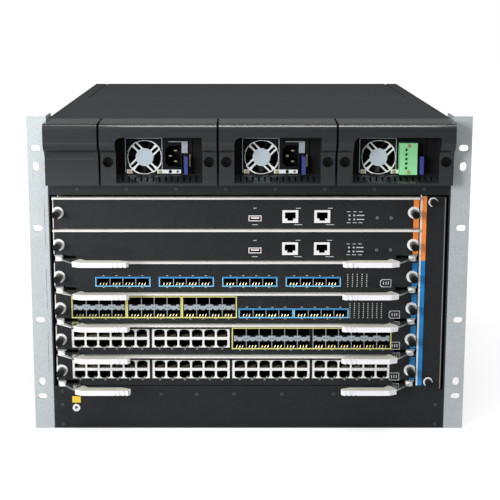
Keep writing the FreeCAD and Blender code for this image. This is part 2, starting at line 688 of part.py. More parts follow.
def earth_socket():
    """Round earth socket in the lower front panel."""
    x = LEFT + JACK_SOCKET_X
    body = rod_y(x, FRONT, FRONT + JACK_SOCKET_LENGTH, JACK_SOCKET_Z, JACK_SOCKET_BODY)
    flange = rod_y(x, proud(JACK_SOCKET_PROUD), FRONT, JACK_SOCKET_Z, JACK_SOCKET_FLANGE)
    bore = rod_y(x, proud(JACK_SOCKET_PROUD), FRONT + JACK_SOCKET_LENGTH - JACK_SOCKET_PROUD,
                 JACK_SOCKET_Z, JACK_SOCKET_BORE)
    return carve(join([body, flange]), [bore])


def case_screws():
    """The small screw heads on the front band, the lower panel and the cover seam."""
    places = []
    room = CASE_WIDTH - BAND_SCREW_INSET - BAND_SCREW_END
    for index in range(int(room / BAND_SCREW_PITCH) + 1):
        places.append((LEFT + BAND_SCREW_INSET + index * BAND_SCREW_PITCH, BAND_LOW + BAND_HEIGHT / 2))
    for offset in LOWER_SCREW_X:
        places.append((LEFT + offset, LOWER_PANEL_HEIGHT - LOWER_SCREW_DROP))
    for z in SIDE_SCREW_Z:
        places.append((LEFT + SIDE_SCREW_INSET, z))
        if z < LOWER_PANEL_HEIGHT - BLADE_DROP - SCREW_HEAD_RADIUS:
            places.append((RIGHT - SIDE_SCREW_INSET, z))
    heads = [rod_y(x, proud(SCREW_HEAD_HEIGHT), FRONT, z, SCREW_HEAD_RADIUS) for x, z in places]
    for x in (-COVER_SCREW_SPREAD, 0, COVER_SCREW_SPREAD):
        heads.append(rod_z(x, SEAM_Y - 2 * SCREW_HEAD_RADIUS, CASE_TOP, CASE_TOP + SCREW_HEAD_HEIGHT,
                           SCREW_HEAD_RADIUS))
    return Part.makeCompound(heads)


# ---------------------------------------------------------------- bezels
def bezel_sweep(low, high, reach_low, reach_high):
    """The two tangent arcs of the front where it sweeps out, from (reach_low, low) to (reach_high, high)."""
    run = (reach_high - reach_low) / 2
    rise = (high - low) / 2
    radius = (run * run + rise * rise) / (2 * run)
    half = math.atan2(rise, radius - run) / 2
    start = side_point(reach_low, low)
    middle = side_point(reach_low + run, low + rise)
    end = side_point(reach_high, high)
    lower = side_point(reach_low + radius * (1 - math.cos(half)), low + radius * math.sin(half))
    upper = side_point(reach_high - radius * (1 - math.cos(half)), high - radius * math.sin(half))
    return [arc(start, lower, middle), arc(middle, upper, end)]


def bezel_profile(inset):
    """The bezel's side outline as edges, drawn in by the inset. An inset one is open past the back plane."""
    low = BEZEL_LOW + inset
    lower = BEZEL_LOWER_PROUD - inset
    upper = BEZEL_UPPER_PROUD - inset
    sweep_low = BEZEL_LOW + BEZEL_SWEEP_LOW
    sweep_high = sweep_low + BEZEL_SWEEP_HEIGHT
    radius = BEZEL_ROUND - inset
    shoulder = CASE_TOP - BEZEL_CROWN - inset
    round_low = side_point(upper, shoulder - radius)
    round_mid = side_point(upper - radius * (1 - math.sqrt(0.5)), shoulder - radius * (1 - math.sqrt(0.5)))
    round_high = side_point(upper - radius, shoulder)
    edges = bezel_sweep(sweep_low, sweep_high, lower, upper)
    edges.append(line(side_point(upper, sweep_high), round_low))
    edges.append(arc(round_low, round_mid, round_high))
    if inset:
        rear = [side_point(-inset, shoulder)]
        rear.append(side_point(-inset, low))
    else:
        rear = [side_point(-BEZEL_TOP_OVERLAP, CASE_TOP)]
        rear.append(side_point(-BEZEL_TOP_OVERLAP, COVER_LOW))
        rear.append(side_point(0, COVER_LOW))
        rear.append(side_point(0, low))
    outline = [round_high] + rear + [side_point(lower, low), side_point(lower, sweep_low)]
    for a, b in zip(outline, outline[1:]):
        edges.append(line(a, b))
    return edges


def bezel_shell(x0, x1):
    """A moulded bezel segment, open at its back."""
    outer = prism_x(bezel_profile(0), x0, x1)
    inner = prism_x(bezel_profile(BEZEL_WALL), x0 + BEZEL_WALL, x1 - BEZEL_WALL)
    return outer, carve(outer, [inner])


def blank_bezel():
    """The narrow bezel with no window."""
    return bezel_shell(LEFT + TOUCH_GAP, bay_left(0) - BEZEL_SLIT / 2)[1]


def bezel_screw_places(bay):
    """X of the two fixing screws of a bay's bezel."""
    left = bay_left(bay)
    return (left + BEZEL_SCREW_INSET, left + BAY_WIDTH - BEZEL_SCREW_INSET)


def window_cutter(x0, x1, z0, z1):
    """The window's opening, rounded at its upper left corner."""
    cutter = box(x0, x1, proud(2 * BEZEL_UPPER_PROUD), FRONT + SHEET, z0, z1)
    edge = [e for e in cutter.Edges
            if all(abs(v.X - x0) < 1e-6 and abs(v.Z - z1) < 1e-6 for v in e.Vertexes)]
    return cutter.makeFillet(WINDOW_CORNER, edge)


def power_bezel(bay):
    """A bay's bezel: swept front, window with a vented sill and louvred top, and two screw wells."""
    outer, shell = bezel_shell(bay_left(bay) + BEZEL_SLIT / 2, bay_left(bay) + BAY_WIDTH - BEZEL_SLIT / 2)
    left = bay_left(bay) + WINDOW_INSET
    right = left + WINDOW_WIDTH
    low = BEZEL_LOW + WINDOW_RISE
    high = low + WINDOW_HEIGHT
    reveal = box(left - BEZEL_WALL, right + BEZEL_WALL, proud(BEZEL_UPPER_PROUD), FRONT,
                 low - BEZEL_WALL, high + BEZEL_WALL)
    well_z = BEZEL_LOW + BEZEL_SCREW_RISE
    wells = [rod_y(x, proud(BEZEL_UPPER_PROUD), FRONT, well_z, BEZEL_RECESS_RADIUS + BEZEL_BOSS_WALL)
             for x in bezel_screw_places(bay)]
    body = join([shell] + [piece.common(outer) for piece in [reveal] + wells])
    cutters = [window_cutter(left, right, low, high)]
    for x in bezel_screw_places(bay):
        cutters.append(rod_y(x, proud(BEZEL_UPPER_PROUD), proud(BEZEL_FLOOR), well_z, BEZEL_RECESS_RADIUS))
        cutters.append(rod_y(x, proud(BEZEL_FLOOR), FRONT, well_z, BEZEL_SCREW_RADIUS))
    body = carve(body, cutters)
    sill_edges = Part.makePolygon([side_point(BEZEL_LOWER_PROUD, low), side_point(SILL_BACK, low + SILL_HEIGHT),
                                   side_point(0, low + SILL_HEIGHT), side_point(0, low),
                                   side_point(BEZEL_LOWER_PROUD, low)]).Edges
    body = join([body, prism_x(sill_edges, left, right)])
    return carve(body, bezel_vents((left + right) / 2, low, high))


def bezel_vents(middle, low, high):
    """Cutters for the sill's slots and the louvres over the window."""
    cutters = []
    for index in range(VENT_COUNT):
        x = middle + (index - (VENT_COUNT - 1) / 2) * VENT_PITCH
        cutters.append(box(x - VENT_WIDTH / 2, x + VENT_WIDTH / 2, proud(BEZEL_LOWER_PROUD), FRONT,
                           low + SILL_VENT_LOW, low + SILL_VENT_LOW + SILL_VENT_HEIGHT))
        if x - LOUVRE_WIDTH / 2 > middle - WINDOW_WIDTH / 2 + WINDOW_CORNER:
            cutters.append(box(x - LOUVRE_WIDTH / 2, x + LOUVRE_WIDTH / 2, proud(LOUVRE_FRONT),
                               proud(LOUVRE_BACK), high - BEZEL_WALL / 2, high + 2 * BEZEL_WALL))
    return cutters


def bezel_screws():
    """The screws at the bottom of the bezels' wells."""
    z = BEZEL_LOW + BEZEL_SCREW_RISE
    screws = []
    for bay in range(SUPPLY_COUNT):
        for x in bezel_screw_places(bay):
            head = rod_y(x, proud(BEZEL_FLOOR + BEZEL_SCREW_HEAD_HEIGHT), proud(BEZEL_FLOOR), z, BEZEL_SCREW_HEAD)
            shank = rod_y(x, proud(BEZEL_FLOOR), FRONT + 2 * SHEET, z, BEZEL_SCREW_RADIUS)
            screws.append(join([head, shank]))
    return Part.makeCompound(screws)


# ---------------------------------------------------------------- fans
def fan_rotor(hub_radius, tip_radius, length, shaft_radius):
    """A rotor along Z from the origin: hub with a bore and swept blades."""
    hub = Part.makeCylinder(hub_radius, length)
    span = tip_radius - hub_radius
    pieces = [hub]
    chord = FAN_BLADE_CHORD * length
    for index in range(BLADE_COUNT):
        blade = box(hub_radius - span / 8, tip_radius, -chord / 2, chord / 2, -FAN_BLADE_SHEET / 2, FAN_BLADE_SHEET / 2)
        blade.rotate(V(0, 0, 0), V(1, 0, 0), FAN_BLADE_PITCH)
        blade.translate(V(0, 0, length / 2))
        blade.rotate(V(0, 0, 0), V(0, 0, 1), 360 * index / BLADE_COUNT)
        pieces.append(blade)
    body = join(pieces)
    limit = Part.makeCylinder(tip_radius, length)
    bore = Part.makeCylinder(shaft_radius + PIN_CLEARANCE, length)
    return carve(body.common(limit), [bore])


def struts(radius, width, depth, count, lean):
    """Straight struts from the middle, leaning off the radial direction, built up along Z from the origin."""
    bars = []
    for index in range(count):
        bar = box(0, radius, lean - width / 2, lean + width / 2, 0, depth)
        bar.rotate(V(0, 0, 0), V(0, 0, 1), 360 * (index + 0.5) / count)
        bars.append(bar)
    return bars


# ---------------------------------------------------------------- supplies
def supply_fan_centre(bay):
    """X and Z of a supply's fan axis."""
    return supply_left(bay) + SUPPLY_FAN_X, SUPPLY_LOW + SUPPLY_FAN_Z


def latch_pivot(bay):
    """X and Y of a supply latch's pivot."""
    return supply_left(bay) + LATCH_X, FRONT + LATCH_PIVOT_DEPTH


def has_terminals(bay):
    """Only the last supply has a terminal block in place of an inlet."""
    return bay == SUPPLY_COUNT - 1


def inlet_outline(bay, margin, y0, y1):
    """The inlet's outline with its two chamfered corners, grown by a margin, through Y."""
    x = supply_left(bay) + INLET_X
    z = SUPPLY_LOW + INLET_Z
    half_x = INLET_WIDTH / 2 + margin
    half_z = INLET_HEIGHT / 2 + margin
    corners = [(x + half_x, z - half_z), (x + half_x, z + half_z), (x - half_x + INLET_CHAMFER, z + half_z),
               (x - half_x, z + half_z - INLET_CHAMFER), (x - half_x, z - half_z + INLET_CHAMFER),
               (x - half_x + INLET_CHAMFER, z - half_z)]
    wire = Part.makePolygon([V(px, y0, pz) for px, pz in corners + corners[:1]])
    return Part.Face(wire).extrude(V(0, y1 - y0, 0))


def power_supply(bay):
    """Supply case with its fan well, struts, shaft, latch pocket and inlet seat."""
    left = supply_left(bay)
    case = box(left, left + SUPPLY_WIDTH, FRONT, FRONT + SUPPLY_LENGTH, SUPPLY_LOW, SUPPLY_TOP)
    fan_x, fan_z = supply_fan_centre(bay)
    well = rod_y(fan_x, FRONT, FRONT + SUPPLY_FAN_DEPTH, fan_z, SUPPLY_FAN_BORE)
    pivot_x, pivot_y = latch_pivot(bay)
    latch_low = SUPPLY_LOW + LATCH_LOW - TOUCH_GAP
    latch_high = SUPPLY_LOW + LATCH_LOW + LATCH_HEIGHT + TOUCH_GAP
    pocket = box(pivot_x - LATCH_POCKET_WIDTH / 2, pivot_x + LATCH_POCKET_WIDTH / 2, FRONT,
                 FRONT + LATCH_POCKET_DEPTH, latch_low, latch_high)
    cutters = [well, pocket]
    if not has_terminals(bay):
        cutters.append(inlet_outline(bay, INLET_RIM, FRONT, FRONT + INLET_DEPTH))
    body = carve(case, cutters)
    hub_depth = 2 * SUPPLY_STRUT
    spider = [Part.makeCylinder(SUPPLY_HUB_RADIUS, SUPPLY_STRUT)]
    spider += struts(SUPPLY_FAN_BORE + SUPPLY_STRUT, SUPPLY_STRUT, SUPPLY_STRUT, SUPPLY_STRUT_COUNT,
                     SUPPLY_HUB_RADIUS / 2)
    spider.append(Part.makeCylinder(SUPPLY_SHAFT_RADIUS, SUPPLY_FAN_DEPTH + SUPPLY_STRUT))
    grille = join(spider)
    grille.rotate(V(0, 0, 0), V(1, 0, 0), -90)
    grille.translate(V(fan_x, FRONT + SUPPLY_STRUT - hub_depth / 2, fan_z))
    pin = rod_z(pivot_x, pivot_y, latch_low, latch_high, LATCH_PIN_RADIUS)
    return join([body, grille, pin])


def supply_fan(bay):
    """Rotor of a supply's fan, on the case's shaft."""
    x, z = supply_fan_centre(bay)
    length = SUPPLY_FAN_DEPTH - SUPPLY_STRUT - 2 * FAN_RUN_GAP
    rotor = fan_rotor(SUPPLY_HUB_RADIUS, SUPPLY_FAN_BORE - FAN_RUN_GAP, length, SUPPLY_SHAFT_RADIUS)
    rotor.rotate(V(0, 0, 0), V(1, 0, 0), -90)
    rotor.translate(V(x, FRONT + SUPPLY_STRUT + FAN_RUN_GAP, z))
    return rotor


def supply_latch(bay):
    """Release latch of a supply: a barrel on the pin, a blade and a thumb pad."""
    x, y = latch_pivot(bay)
    low = SUPPLY_LOW + LATCH_LOW
    high = low + LATCH_HEIGHT
    barrel = rod_z(x, y, low, high, LATCH_BARREL_RADIUS)
    blade = box(x - LATCH_SHEET / 2, x + LATCH_SHEET / 2, proud(LATCH_PROUD), y, low, high)
    pad = box(x - LATCH_SHEET / 2, x - LATCH_SHEET / 2 + LATCH_PAD_WIDTH, proud(LATCH_PROUD),
              proud(LATCH_PROUD - LATCH_SHEET), low, high)
    bore = rod_z(x, y, low, high, LATCH_PIN_RADIUS + PIN_CLEARANCE)
    return carve(join([barrel, blade, pad]), [bore])


def supply_inlet(bay):
    """Power inlet: a moulded shroud with three blades, seated in the supply's front."""
    shroud = inlet_outline(bay, INLET_RIM, proud(INLET_PROUD), FRONT + INLET_DEPTH)
    hollow = inlet_outline(bay, 0, proud(INLET_PROUD), FRONT + INLET_DEPTH - INLET_RIM)
    x = supply_left(bay) + INLET_X
    z = SUPPLY_LOW + INLET_Z
    pins = []
    for dx, dz in ((INLET_WIDTH / 6, -INLET_HEIGHT / 4), (INLET_WIDTH / 6, INLET_HEIGHT / 4), (-INLET_WIDTH / 6, 0)):
        pins.append(box(x + dx - INLET_PIN_HEIGHT / 2, x + dx + INLET_PIN_HEIGHT / 2, FRONT,
                        FRONT + INLET_DEPTH - INLET_RIM, z + dz - INLET_PIN / 2, z + dz + INLET_PIN / 2))
    return join([carve(shroud, [hollow])] + pins)


def terminal_block(bay):
    """Pluggable terminal block on the last supply, with a column of wire holes."""
    left = supply_left(bay) + TERMINAL_X
    low = SUPPLY_LOW + TERMINAL_RISE
    block = box(left, left + TERMINAL_WIDTH, proud(TERMINAL_PROUD), FRONT, low, low + TERMINAL_HEIGHT)
    middle = low + TERMINAL_HEIGHT / 2
    holes = []
    for index in range(TERMINAL_POLES):
        z = middle + (index - (TERMINAL_POLES - 1) / 2) * TERMINAL_PITCH
        holes.append(rod_y(left + TERMINAL_HOLE_INSET, proud(TERMINAL_PROUD), proud(TERMINAL_FLOOR), z, TERMINAL_HOLE))
    return carve(block, holes)


# ---------------------------------------------------------------- fan tray
def tray_fan_centres():
    """Y and Z of the tray's fan axes."""
    middle_y = FRONT + PANEL_SHEET + TRAY_FRAME_LENGTH / 2
    middle_z = (LOWER_PANEL_HEIGHT + CAGE_TOP) / 2
    centres = []
    for row in range(TRAY_FAN_ROWS):
        for column in range(TRAY_FAN_COLUMNS):
            y = middle_y + (column - (TRAY_FAN_COLUMNS - 1) / 2) * TRAY_FAN_SIZE
            z = middle_z + (row - (TRAY_FAN_ROWS - 1) / 2) * TRAY_FAN_SIZE
            centres.append((y, z))
    return centres


def tray_frame_left():
    """The fan frame's left face: the frame is centred behind the blade."""
    return (BLADE_LEFT + BLADE_RIGHT - TRAY_FRAME_SIDE) / 2


def fan_tray():
    """Fan tray: front blade with two thumbscrews, fan frame, struts and shafts."""
    blade = box(BLADE_LEFT, BLADE_RIGHT, FRONT, FRONT + PANEL_SHEET, LOWER_PANEL_HEIGHT - BLADE_DROP,
                CAGE_TOP - CARD_GAP / 2)
    left = tray_frame_left()
    right = left + TRAY_FRAME_SIDE
    frame = box(left, right, FRONT + PANEL_SHEET, FRONT + PANEL_SHEET + TRAY_FRAME_LENGTH,
                LOWER_PANEL_HEIGHT + WALL_SHEET + TRAY_FLOOR_PLAY, CAGE_TOP - WALL_SHEET - TRAY_FLOOR_PLAY)
    bores = [rod_x(left, right, y, z, TRAY_FAN_BORE) for y, z in tray_fan_centres()]
    pieces = [blade, carve(frame, bores)]
    for y, z in tray_fan_centres():
        spider = [Part.makeCylinder(TRAY_HUB_RADIUS, TRAY_STRUT)]
        spider += struts(TRAY_FAN_BORE + TRAY_STRUT, TRAY_STRUT, TRAY_STRUT, SUPPLY_STRUT_COUNT, 0)
        spider.append(Part.makeCylinder(TRAY_SHAFT_RADIUS, TRAY_FRAME_SIDE - TRAY_STRUT))
        carrier = join(spider)
        carrier.rotate(V(0, 0, 0), V(0, 1, 0), -90)
        carrier.translate(V(right, y, z))
        pieces.append(carrier)
    for z in (LOWER_PANEL_HEIGHT - BLADE_DROP + TRAY_THUMB_END + TRAY_THUMB_DISC / 2,
              CAGE_TOP - TRAY_THUMB_END):
        x = BLADE_LEFT + TRAY_THUMB_INSET
        pieces.append(rod_y(x, proud(THUMB_DISC_HEIGHT), FRONT, z, TRAY_THUMB_DISC))
        pieces.append(rod_y(x, proud(TRAY_THUMB_PROUD), FRONT, z, TRAY_THUMB_KNOB))
    return join(pieces)


def tray_fan(index):
    """Rotor of one of the tray's fans, on the tray's shaft."""
    y, z = tray_fan_centres()[index]
    length = TRAY_FRAME_SIDE - TRAY_STRUT - 2 * FAN_RUN_GAP
    rotor = fan_rotor(TRAY_HUB_RADIUS, TRAY_FAN_BORE - 2 * FAN_RUN_GAP, length, TRAY_SHAFT_RADIUS)
    rotor.rotate(V(0, 0, 0), V(0, 1, 0), 90)
    rotor.translate(V(tray_frame_left() + FAN_RUN_GAP, y, z))
    return rotor


# ---------------------------------------------------------------- ports
def port_block(x0, x1, z0, z1, depth, stand):
    """The solid block of a port group, through the panel."""
    return box(x0, x1, proud(stand), BOARD_FRONT + depth, z0, z1)


def sfp_width(columns, split):
    """Width of a cage, with extra width in its middle where it is split."""
    return columns * SFP_PITCH + 2 * PORT_MARGIN + split


def sfp_height(rows):
    """Height of a cage with one or two rows."""
    return 2 * SFP_RIM + rows * SFP_HEIGHT + (rows - 1) * SFP_BAND


def sfp_cage(left, low, columns, rows, split=0):
    """A small-form-factor cage and its cut-out: (solid, (x0, x1, z0, z1))."""
    right = left + sfp_width(columns, split)
    high = low + sfp_height(rows)
    holes = []
    for column in range(columns):
        x = left + PORT_MARGIN + (column + 0.5) * SFP_PITCH
        if column >= columns / 2:
            x += split
        for row in range(rows):
            z = low + SFP_RIM + row * (SFP_HEIGHT + SFP_BAND)
            holes.append(box(x - SFP_WIDTH / 2, x + SFP_WIDTH / 2, proud(PORT_PROUD), BOARD_FRONT + SFP_DEPTH,
                             z, z + SFP_HEIGHT))
    block = port_block(left, right, low, high, PORT_BLOCK_DEPTH, PORT_PROUD)
    return carve(block, holes), (left, right, low, high)


def copper_width():
    """Width of a copper group."""
    return COPPER_COLUMNS * RJ_PITCH + 2 * PORT_MARGIN


def rj_socket(x, low, latch_up, stand):
    """Cutter of one modular socket, with its latch notch above or below."""
    main = low if latch_up else low + RJ_LATCH_HEIGHT
    latch = low + RJ_HEIGHT if latch_up else low
    y0 = proud(stand)
    y1 = BOARD_FRONT + RJ_DEPTH
    mouth = box(x - RJ_WIDTH / 2, x + RJ_WIDTH / 2, y0, y1, main, main + RJ_HEIGHT)
    notch = box(x - RJ_LATCH_WIDTH / 2, x + RJ_LATCH_WIDTH / 2, y0, y1, latch, latch + RJ_LATCH_HEIGHT)
    return join([mouth, notch])


def rj_stack(left, low):
    """A stacked copper group and its cut-out: (solid, (x0, x1, z0, z1))."""
    right = left + copper_width()
    row_height = RJ_HEIGHT + RJ_LATCH_HEIGHT
    high = low + 2 * RJ_RIM + 2 * row_height + RJ_WEB
    holes = []
    for column in range(COPPER_COLUMNS):
        x = left + PORT_MARGIN + (column + 0.5) * RJ_PITCH
        holes.append(rj_socket(x, low + RJ_RIM, False, PORT_PROUD))
        holes.append(rj_socket(x, low + RJ_RIM + row_height + RJ_WEB, True, PORT_PROUD))
    block = port_block(left, right, low, high, PORT_BLOCK_DEPTH, PORT_PROUD)
    return carve(block, holes), (left, right, low, high)


def control_ports(low):
    """The ports of a control card: one bus port and two modular jacks."""
    x = CARD_LEFT + CONTROL_USB_X
    z = low + CONTROL_USB_Z
    outline = (x - USB_WIDTH / 2, x + USB_WIDTH / 2, z - USB_HEIGHT / 2, z + USB_HEIGHT / 2)
    block = port_block(*outline, USB_DEPTH, PORT_PROUD)
    hollow = box(outline[0] + USB_WALL, outline[1] - USB_WALL, proud(PORT_PROUD), BOARD_FRONT + USB_DEPTH - USB_WALL,
                 outline[2] + USB_WALL, outline[3] - USB_WALL)
    foot = box(outline[0], outline[1], BOARD_FRONT, BOARD_FRONT + USB_DEPTH, low + BOARD_TOP, outline[2])
    groups = [(join([carve(block, [hollow]), foot]), outline)]
    for index in range(CONTROL_JACKS):
        x = CARD_LEFT + CONTROL_JACK_X + index * CONTROL_JACK_PITCH
        z = low + JACK_BASE
        outline = (x - JACK_WIDTH / 2, x + JACK_WIDTH / 2, z, z + JACK_HEIGHT)
        block = port_block(*outline, PORT_BLOCK_DEPTH, JACK_PROUD)
        socket_low = z + (JACK_HEIGHT - RJ_HEIGHT - RJ_LATCH_HEIGHT) / 2
        groups.append((carve(block, [rj_socket(x, socket_low, False, JACK_PROUD)]), outline))
    return groups


def fitting(inset, width, gap, count):
    """How many groups of this width with this gap between them fit on a card, up to the count."""
    room = CARD_RIGHT - CARD_LEFT - PORT_END_GAP - inset - width
    return min(count, int(room / (width + gap)) + 1)


def fibre_ports(low):
    """The single rows of small cages of the fibre card."""
    width = sfp_width(GROUP_COLUMNS, 0)
    pitch = width + FIBRE_GROUP_GAP
    return [sfp_cage(CARD_LEFT + FIBRE_INSET + index * pitch, low + SFP_BASE, GROUP_COLUMNS, 1)
            for index in range(fitting(FIBRE_INSET, width, FIBRE_GROUP_GAP, FIBRE_GROUPS))]


def mixed_ports(low):
    """The stacked and the single groups of cages of the mixed card."""
    groups = []
    width = sfp_width(GROUP_COLUMNS, 0)
    for index in range(fitting(MIXED_INSET + MIXED_GAP, width, MIXED_GROUP_GAP, MIXED_STACKS + MIXED_SINGLES)):
        left = CARD_LEFT + MIXED_INSET + index * (width + MIXED_GROUP_GAP)
        if index < MIXED_STACKS:
            groups.append(sfp_cage(left, low + SFP_BASE, GROUP_COLUMNS, 2))
        else:
            groups.append(sfp_cage(left + MIXED_GAP, low + SFP_BASE, GROUP_COLUMNS, 1))
    return groups


def copper_ports(low, count):
    """The stacked copper groups of a card, as many as fit up to the count."""
    pitch = copper_width() + COPPER_GROUP_GAP
    return [rj_stack(CARD_LEFT + COPPER_INSET + index * pitch, low + RJ_BASE)
            for index in range(fitting(COPPER_INSET, copper_width(), COPPER_GROUP_GAP, count))]


def combo_ports(low):
    """Two copper groups, then one long stack of cages."""
    inset = COPPER_INSET + COMBO_COPPER_GROUPS * (copper_width() + COPPER_GROUP_GAP)
    columns = fitting(inset + 2 * PORT_MARGIN + COMBO_SPLIT, SFP_PITCH, 0, COMBO_COLUMNS)
    stack = sfp_cage(CARD_LEFT + inset, low + SFP_BASE, columns, 2, COMBO_SPLIT)
    return copper_ports(low, COMBO_COPPER_GROUPS) + [stack]


def card_ports(slot):
    """The port groups of a card as (solid, cut-out) pairs."""
    low = slot_bottom(slot)
    if slot <= CONTROL_SLOTS:
        return control_ports(low)
    if slot == FIBRE_SLOT:
        return fibre_ports(low)
    if slot == MIXED_SLOT:
        return mixed_ports(low)
    if slot == COMBO_SLOT:
        return combo_ports(low)
    return copper_ports(low, COPPER_GROUPS)


# ---------------------------------------------------------------- cards
def has_levers(slot):
    """Every card has levers apart from the top one."""
    return slot >= FIRST_LEVER_SLOT


def mirrored(x, side):
    """An X measured from the card's left end (side -1) or from its right end (side 1)."""
    return CARD_LEFT + x if side < 0 else CARD_RIGHT - x


def thumbscrew(x, z, x_limits):
    """Captive thumbscrew: a disc cut off at the card's end, and a knob with a cross recess."""
    disc = rod_y(x, proud(THUMB_DISC_HEIGHT), FRONT, z, THUMB_DISC_RADIUS)
    disc = disc.common(box(x_limits[0], x_limits[1], proud(THUMB_DISC_HEIGHT), FRONT,
                           z - THUMB_DISC_RADIUS, z + THUMB_DISC_RADIUS))
    knob = rod_y(x, proud(THUMB_KNOB_PROUD), proud(THUMB_DISC_HEIGHT), z, THUMB_KNOB_RADIUS)
    cross = []
    for width, height in ((THUMB_CROSS / 2, THUMB_SLOT_WIDTH / 2), (THUMB_SLOT_WIDTH / 2, THUMB_CROSS / 2)):
        cross.append(box(x - width, x + width, proud(THUMB_KNOB_PROUD), proud(THUMB_KNOB_PROUD - THUMB_RECESS),
                         z - height, z + height))
    return join([disc, carve(knob, cross)])


def lever_bracket(slot, side):
    """The small shelf and pin that carry a lever."""
    low = slot_bottom(slot)
    x = mirrored(LEVER_PIVOT_INSET, side)
    y = proud(LEVER_PIVOT_PROUD)
    shelf_low = low + CARD_GAP / 2 + PANEL_NOTCH_HEIGHT
    half = LEVER_BRACKET_SIZE / 2
    shelf = box(x - half, x + half, y - half, FRONT + PANEL_SHEET, shelf_low, shelf_low + LEVER_BRACKET_SHEET)
    pin = rod_z(x, y, low + LEVER_GRIP_LOW, shelf_low, LEVER_PIN_RADIUS)
    return join([shelf, pin])


def card_panel(slot):
    """A card's front panel with its bright top lip, thumbscrews, port cut-outs and lever brackets."""
    low = slot_bottom(slot)
    bottom = low + CARD_GAP / 2
    top = low + SLOT_PITCH - CARD_GAP / 2
    panel = box(CARD_LEFT, CARD_RIGHT, FRONT, BOARD_FRONT, bottom, top)
    cutters = []
    for _, (x0, x1, z0, z1) in card_ports(slot):
        cutters.append(box(x0 - CUT_CLEARANCE, x1 + CUT_CLEARANCE, FRONT - PANEL_SHEET, BOARD_FRONT + PANEL_SHEET,
                           z0 - CUT_CLEARANCE, z1 + CUT_CLEARANCE))
    lip_inset = 0
    if has_levers(slot):
        for side in (-1, 1):
            x0, x1 = sorted((mirrored(-CUT_CLEARANCE, side), mirrored(PANEL_NOTCH_WIDTH, side)))
            cutters.append(box(x0, x1, FRONT - PANEL_SHEET, BOARD_FRONT + PANEL_SHEET,
                               bottom - CARD_GAP, bottom + PANEL_NOTCH_HEIGHT))
    if slot > CONTROL_SLOTS:
        lip_inset = LEVER_GRIP_START
    lip = box(CARD_LEFT + lip_inset, CARD_RIGHT - lip_inset, proud(PANEL_LIP_DEPTH), FRONT,
              top - PANEL_LIP_HEIGHT, top)
    pieces = [carve(panel, cutters), lip]
    middle = low + SLOT_PITCH / 2
    for side in (-1, 1):
        pieces.append(thumbscrew(mirrored(THUMB_INSET, side), middle, (CARD_LEFT, CARD_RIGHT)))
        if has_levers(slot):
            pieces.append(lever_bracket(slot, side))
    return join(pieces)


def heat_sink(low):
    """Finned heat sink on a card's board."""
    x = CARD_MIDDLE - HEAT_SINK_SIZE / 2
    y = BOARD_FRONT + HEAT_SINK_SETBACK
    z = low + BOARD_TOP
    pieces = [box(x, x + HEAT_SINK_SIZE, y, y + HEAT_SINK_SIZE, z, z + HEAT_SINK_BASE)]
    step = (HEAT_SINK_SIZE - HEAT_SINK_FIN) / (HEAT_SINK_FINS - 1)
    for index in range(HEAT_SINK_FINS):
        fin_y = y + index * step
        pieces.append(box(x, x + HEAT_SINK_SIZE, fin_y, fin_y + HEAT_SINK_FIN, z, z + HEAT_SINK_HEIGHT))
    return pieces


def card_board(slot):
    """A card's board with its ports, heat sink and rear connectors."""
    low = slot_bottom(slot)
    board = box(CARD_LEFT + BOARD_END_INSET, CARD_RIGHT - BOARD_END_INSET, BOARD_FRONT, BOARD_BACK,
                low + BOARD_TOP - BOARD_SHEET, low + BOARD_TOP)
    reliefs = []
    if has_levers(slot):
        for side in (-1, 1):
            x0, x1 = sorted((mirrored(0, side), mirrored(PANEL_NOTCH_WIDTH, side)))
            reliefs.append(box(x0, x1, FRONT, BOARD_FRONT + BOARD_RELIEF, low, low + BOARD_TOP + BOARD_SHEET))
    board = carve(board, reliefs)
    blocks = []
    for solid, (x0, x1, z0, _) in card_ports(slot):
        if z0 - low - BOARD_TOP > 0:
            foot = box(x0, x1, BOARD_FRONT, BOARD_FRONT + USB_DEPTH, low + BOARD_TOP, z0)
            solid = join([solid, foot])
        blocks.append(solid)
    plugs = connector_blocks(BOARD_BACK - CONNECTOR_LENGTH, BOARD_BACK, slot)
    return join([board] + heat_sink(low) + blocks + plugs)


def lever_grip_outline(side):
    """Corners of a lever's grip in plan: a slanted nose, a notched straight front and a slanted back."""
    start = LEVER_GRIP_START
    end = LEVER_GRIP_END
    front = LEVER_GRIP_FRONT
    rear = LEVER_GRIP_REAR
    tip = front - LEVER_TIP_DEPTH
    corners = [(start, front - LEVER_NOSE_DEPTH), (start + LEVER_NOSE_LENGTH, front),
               (end - LEVER_TIP_LENGTH, front), (end, tip), (end, tip - LEVER_TIP_FLAT),
               (end - LEVER_BACK_SLOPE, rear), (start + LEVER_WEB_LENGTH, rear),
               (start + LEVER_WEB_STEP, rear - LEVER_WEB_DEPTH), (start, front - LEVER_WEB_FRONT)]
    return [(mirrored(x, side), proud(reach)) for x, reach in corners]


def lever_arm_outline(side):
    """Corners of a lever's steel arm in plan, from the boss into the grip."""
    start = LEVER_GRIP_START
    pivot = LEVER_PIVOT_INSET
    reach = LEVER_PIVOT_PROUD
    boss = LEVER_BOSS_RADIUS
    corners = [(pivot - boss / 2, reach + boss * 0.7), (pivot + boss, reach + 2 * boss),
               (start - LEVER_ARM_SHEET, LEVER_GRIP_REAR), (start + LEVER_NOSE_LENGTH / 2, LEVER_GRIP_FRONT - LEVER_WEB_FRONT),
               (start + LEVER_NOSE_LENGTH, LEVER_GRIP_REAR), (start, LEVER_ARM_SHEET),
               (pivot + boss, reach - boss * 0.6), (pivot, reach - boss * 0.8)]
    return [(mirrored(x, side), proud(reach)) for x, reach in corners]


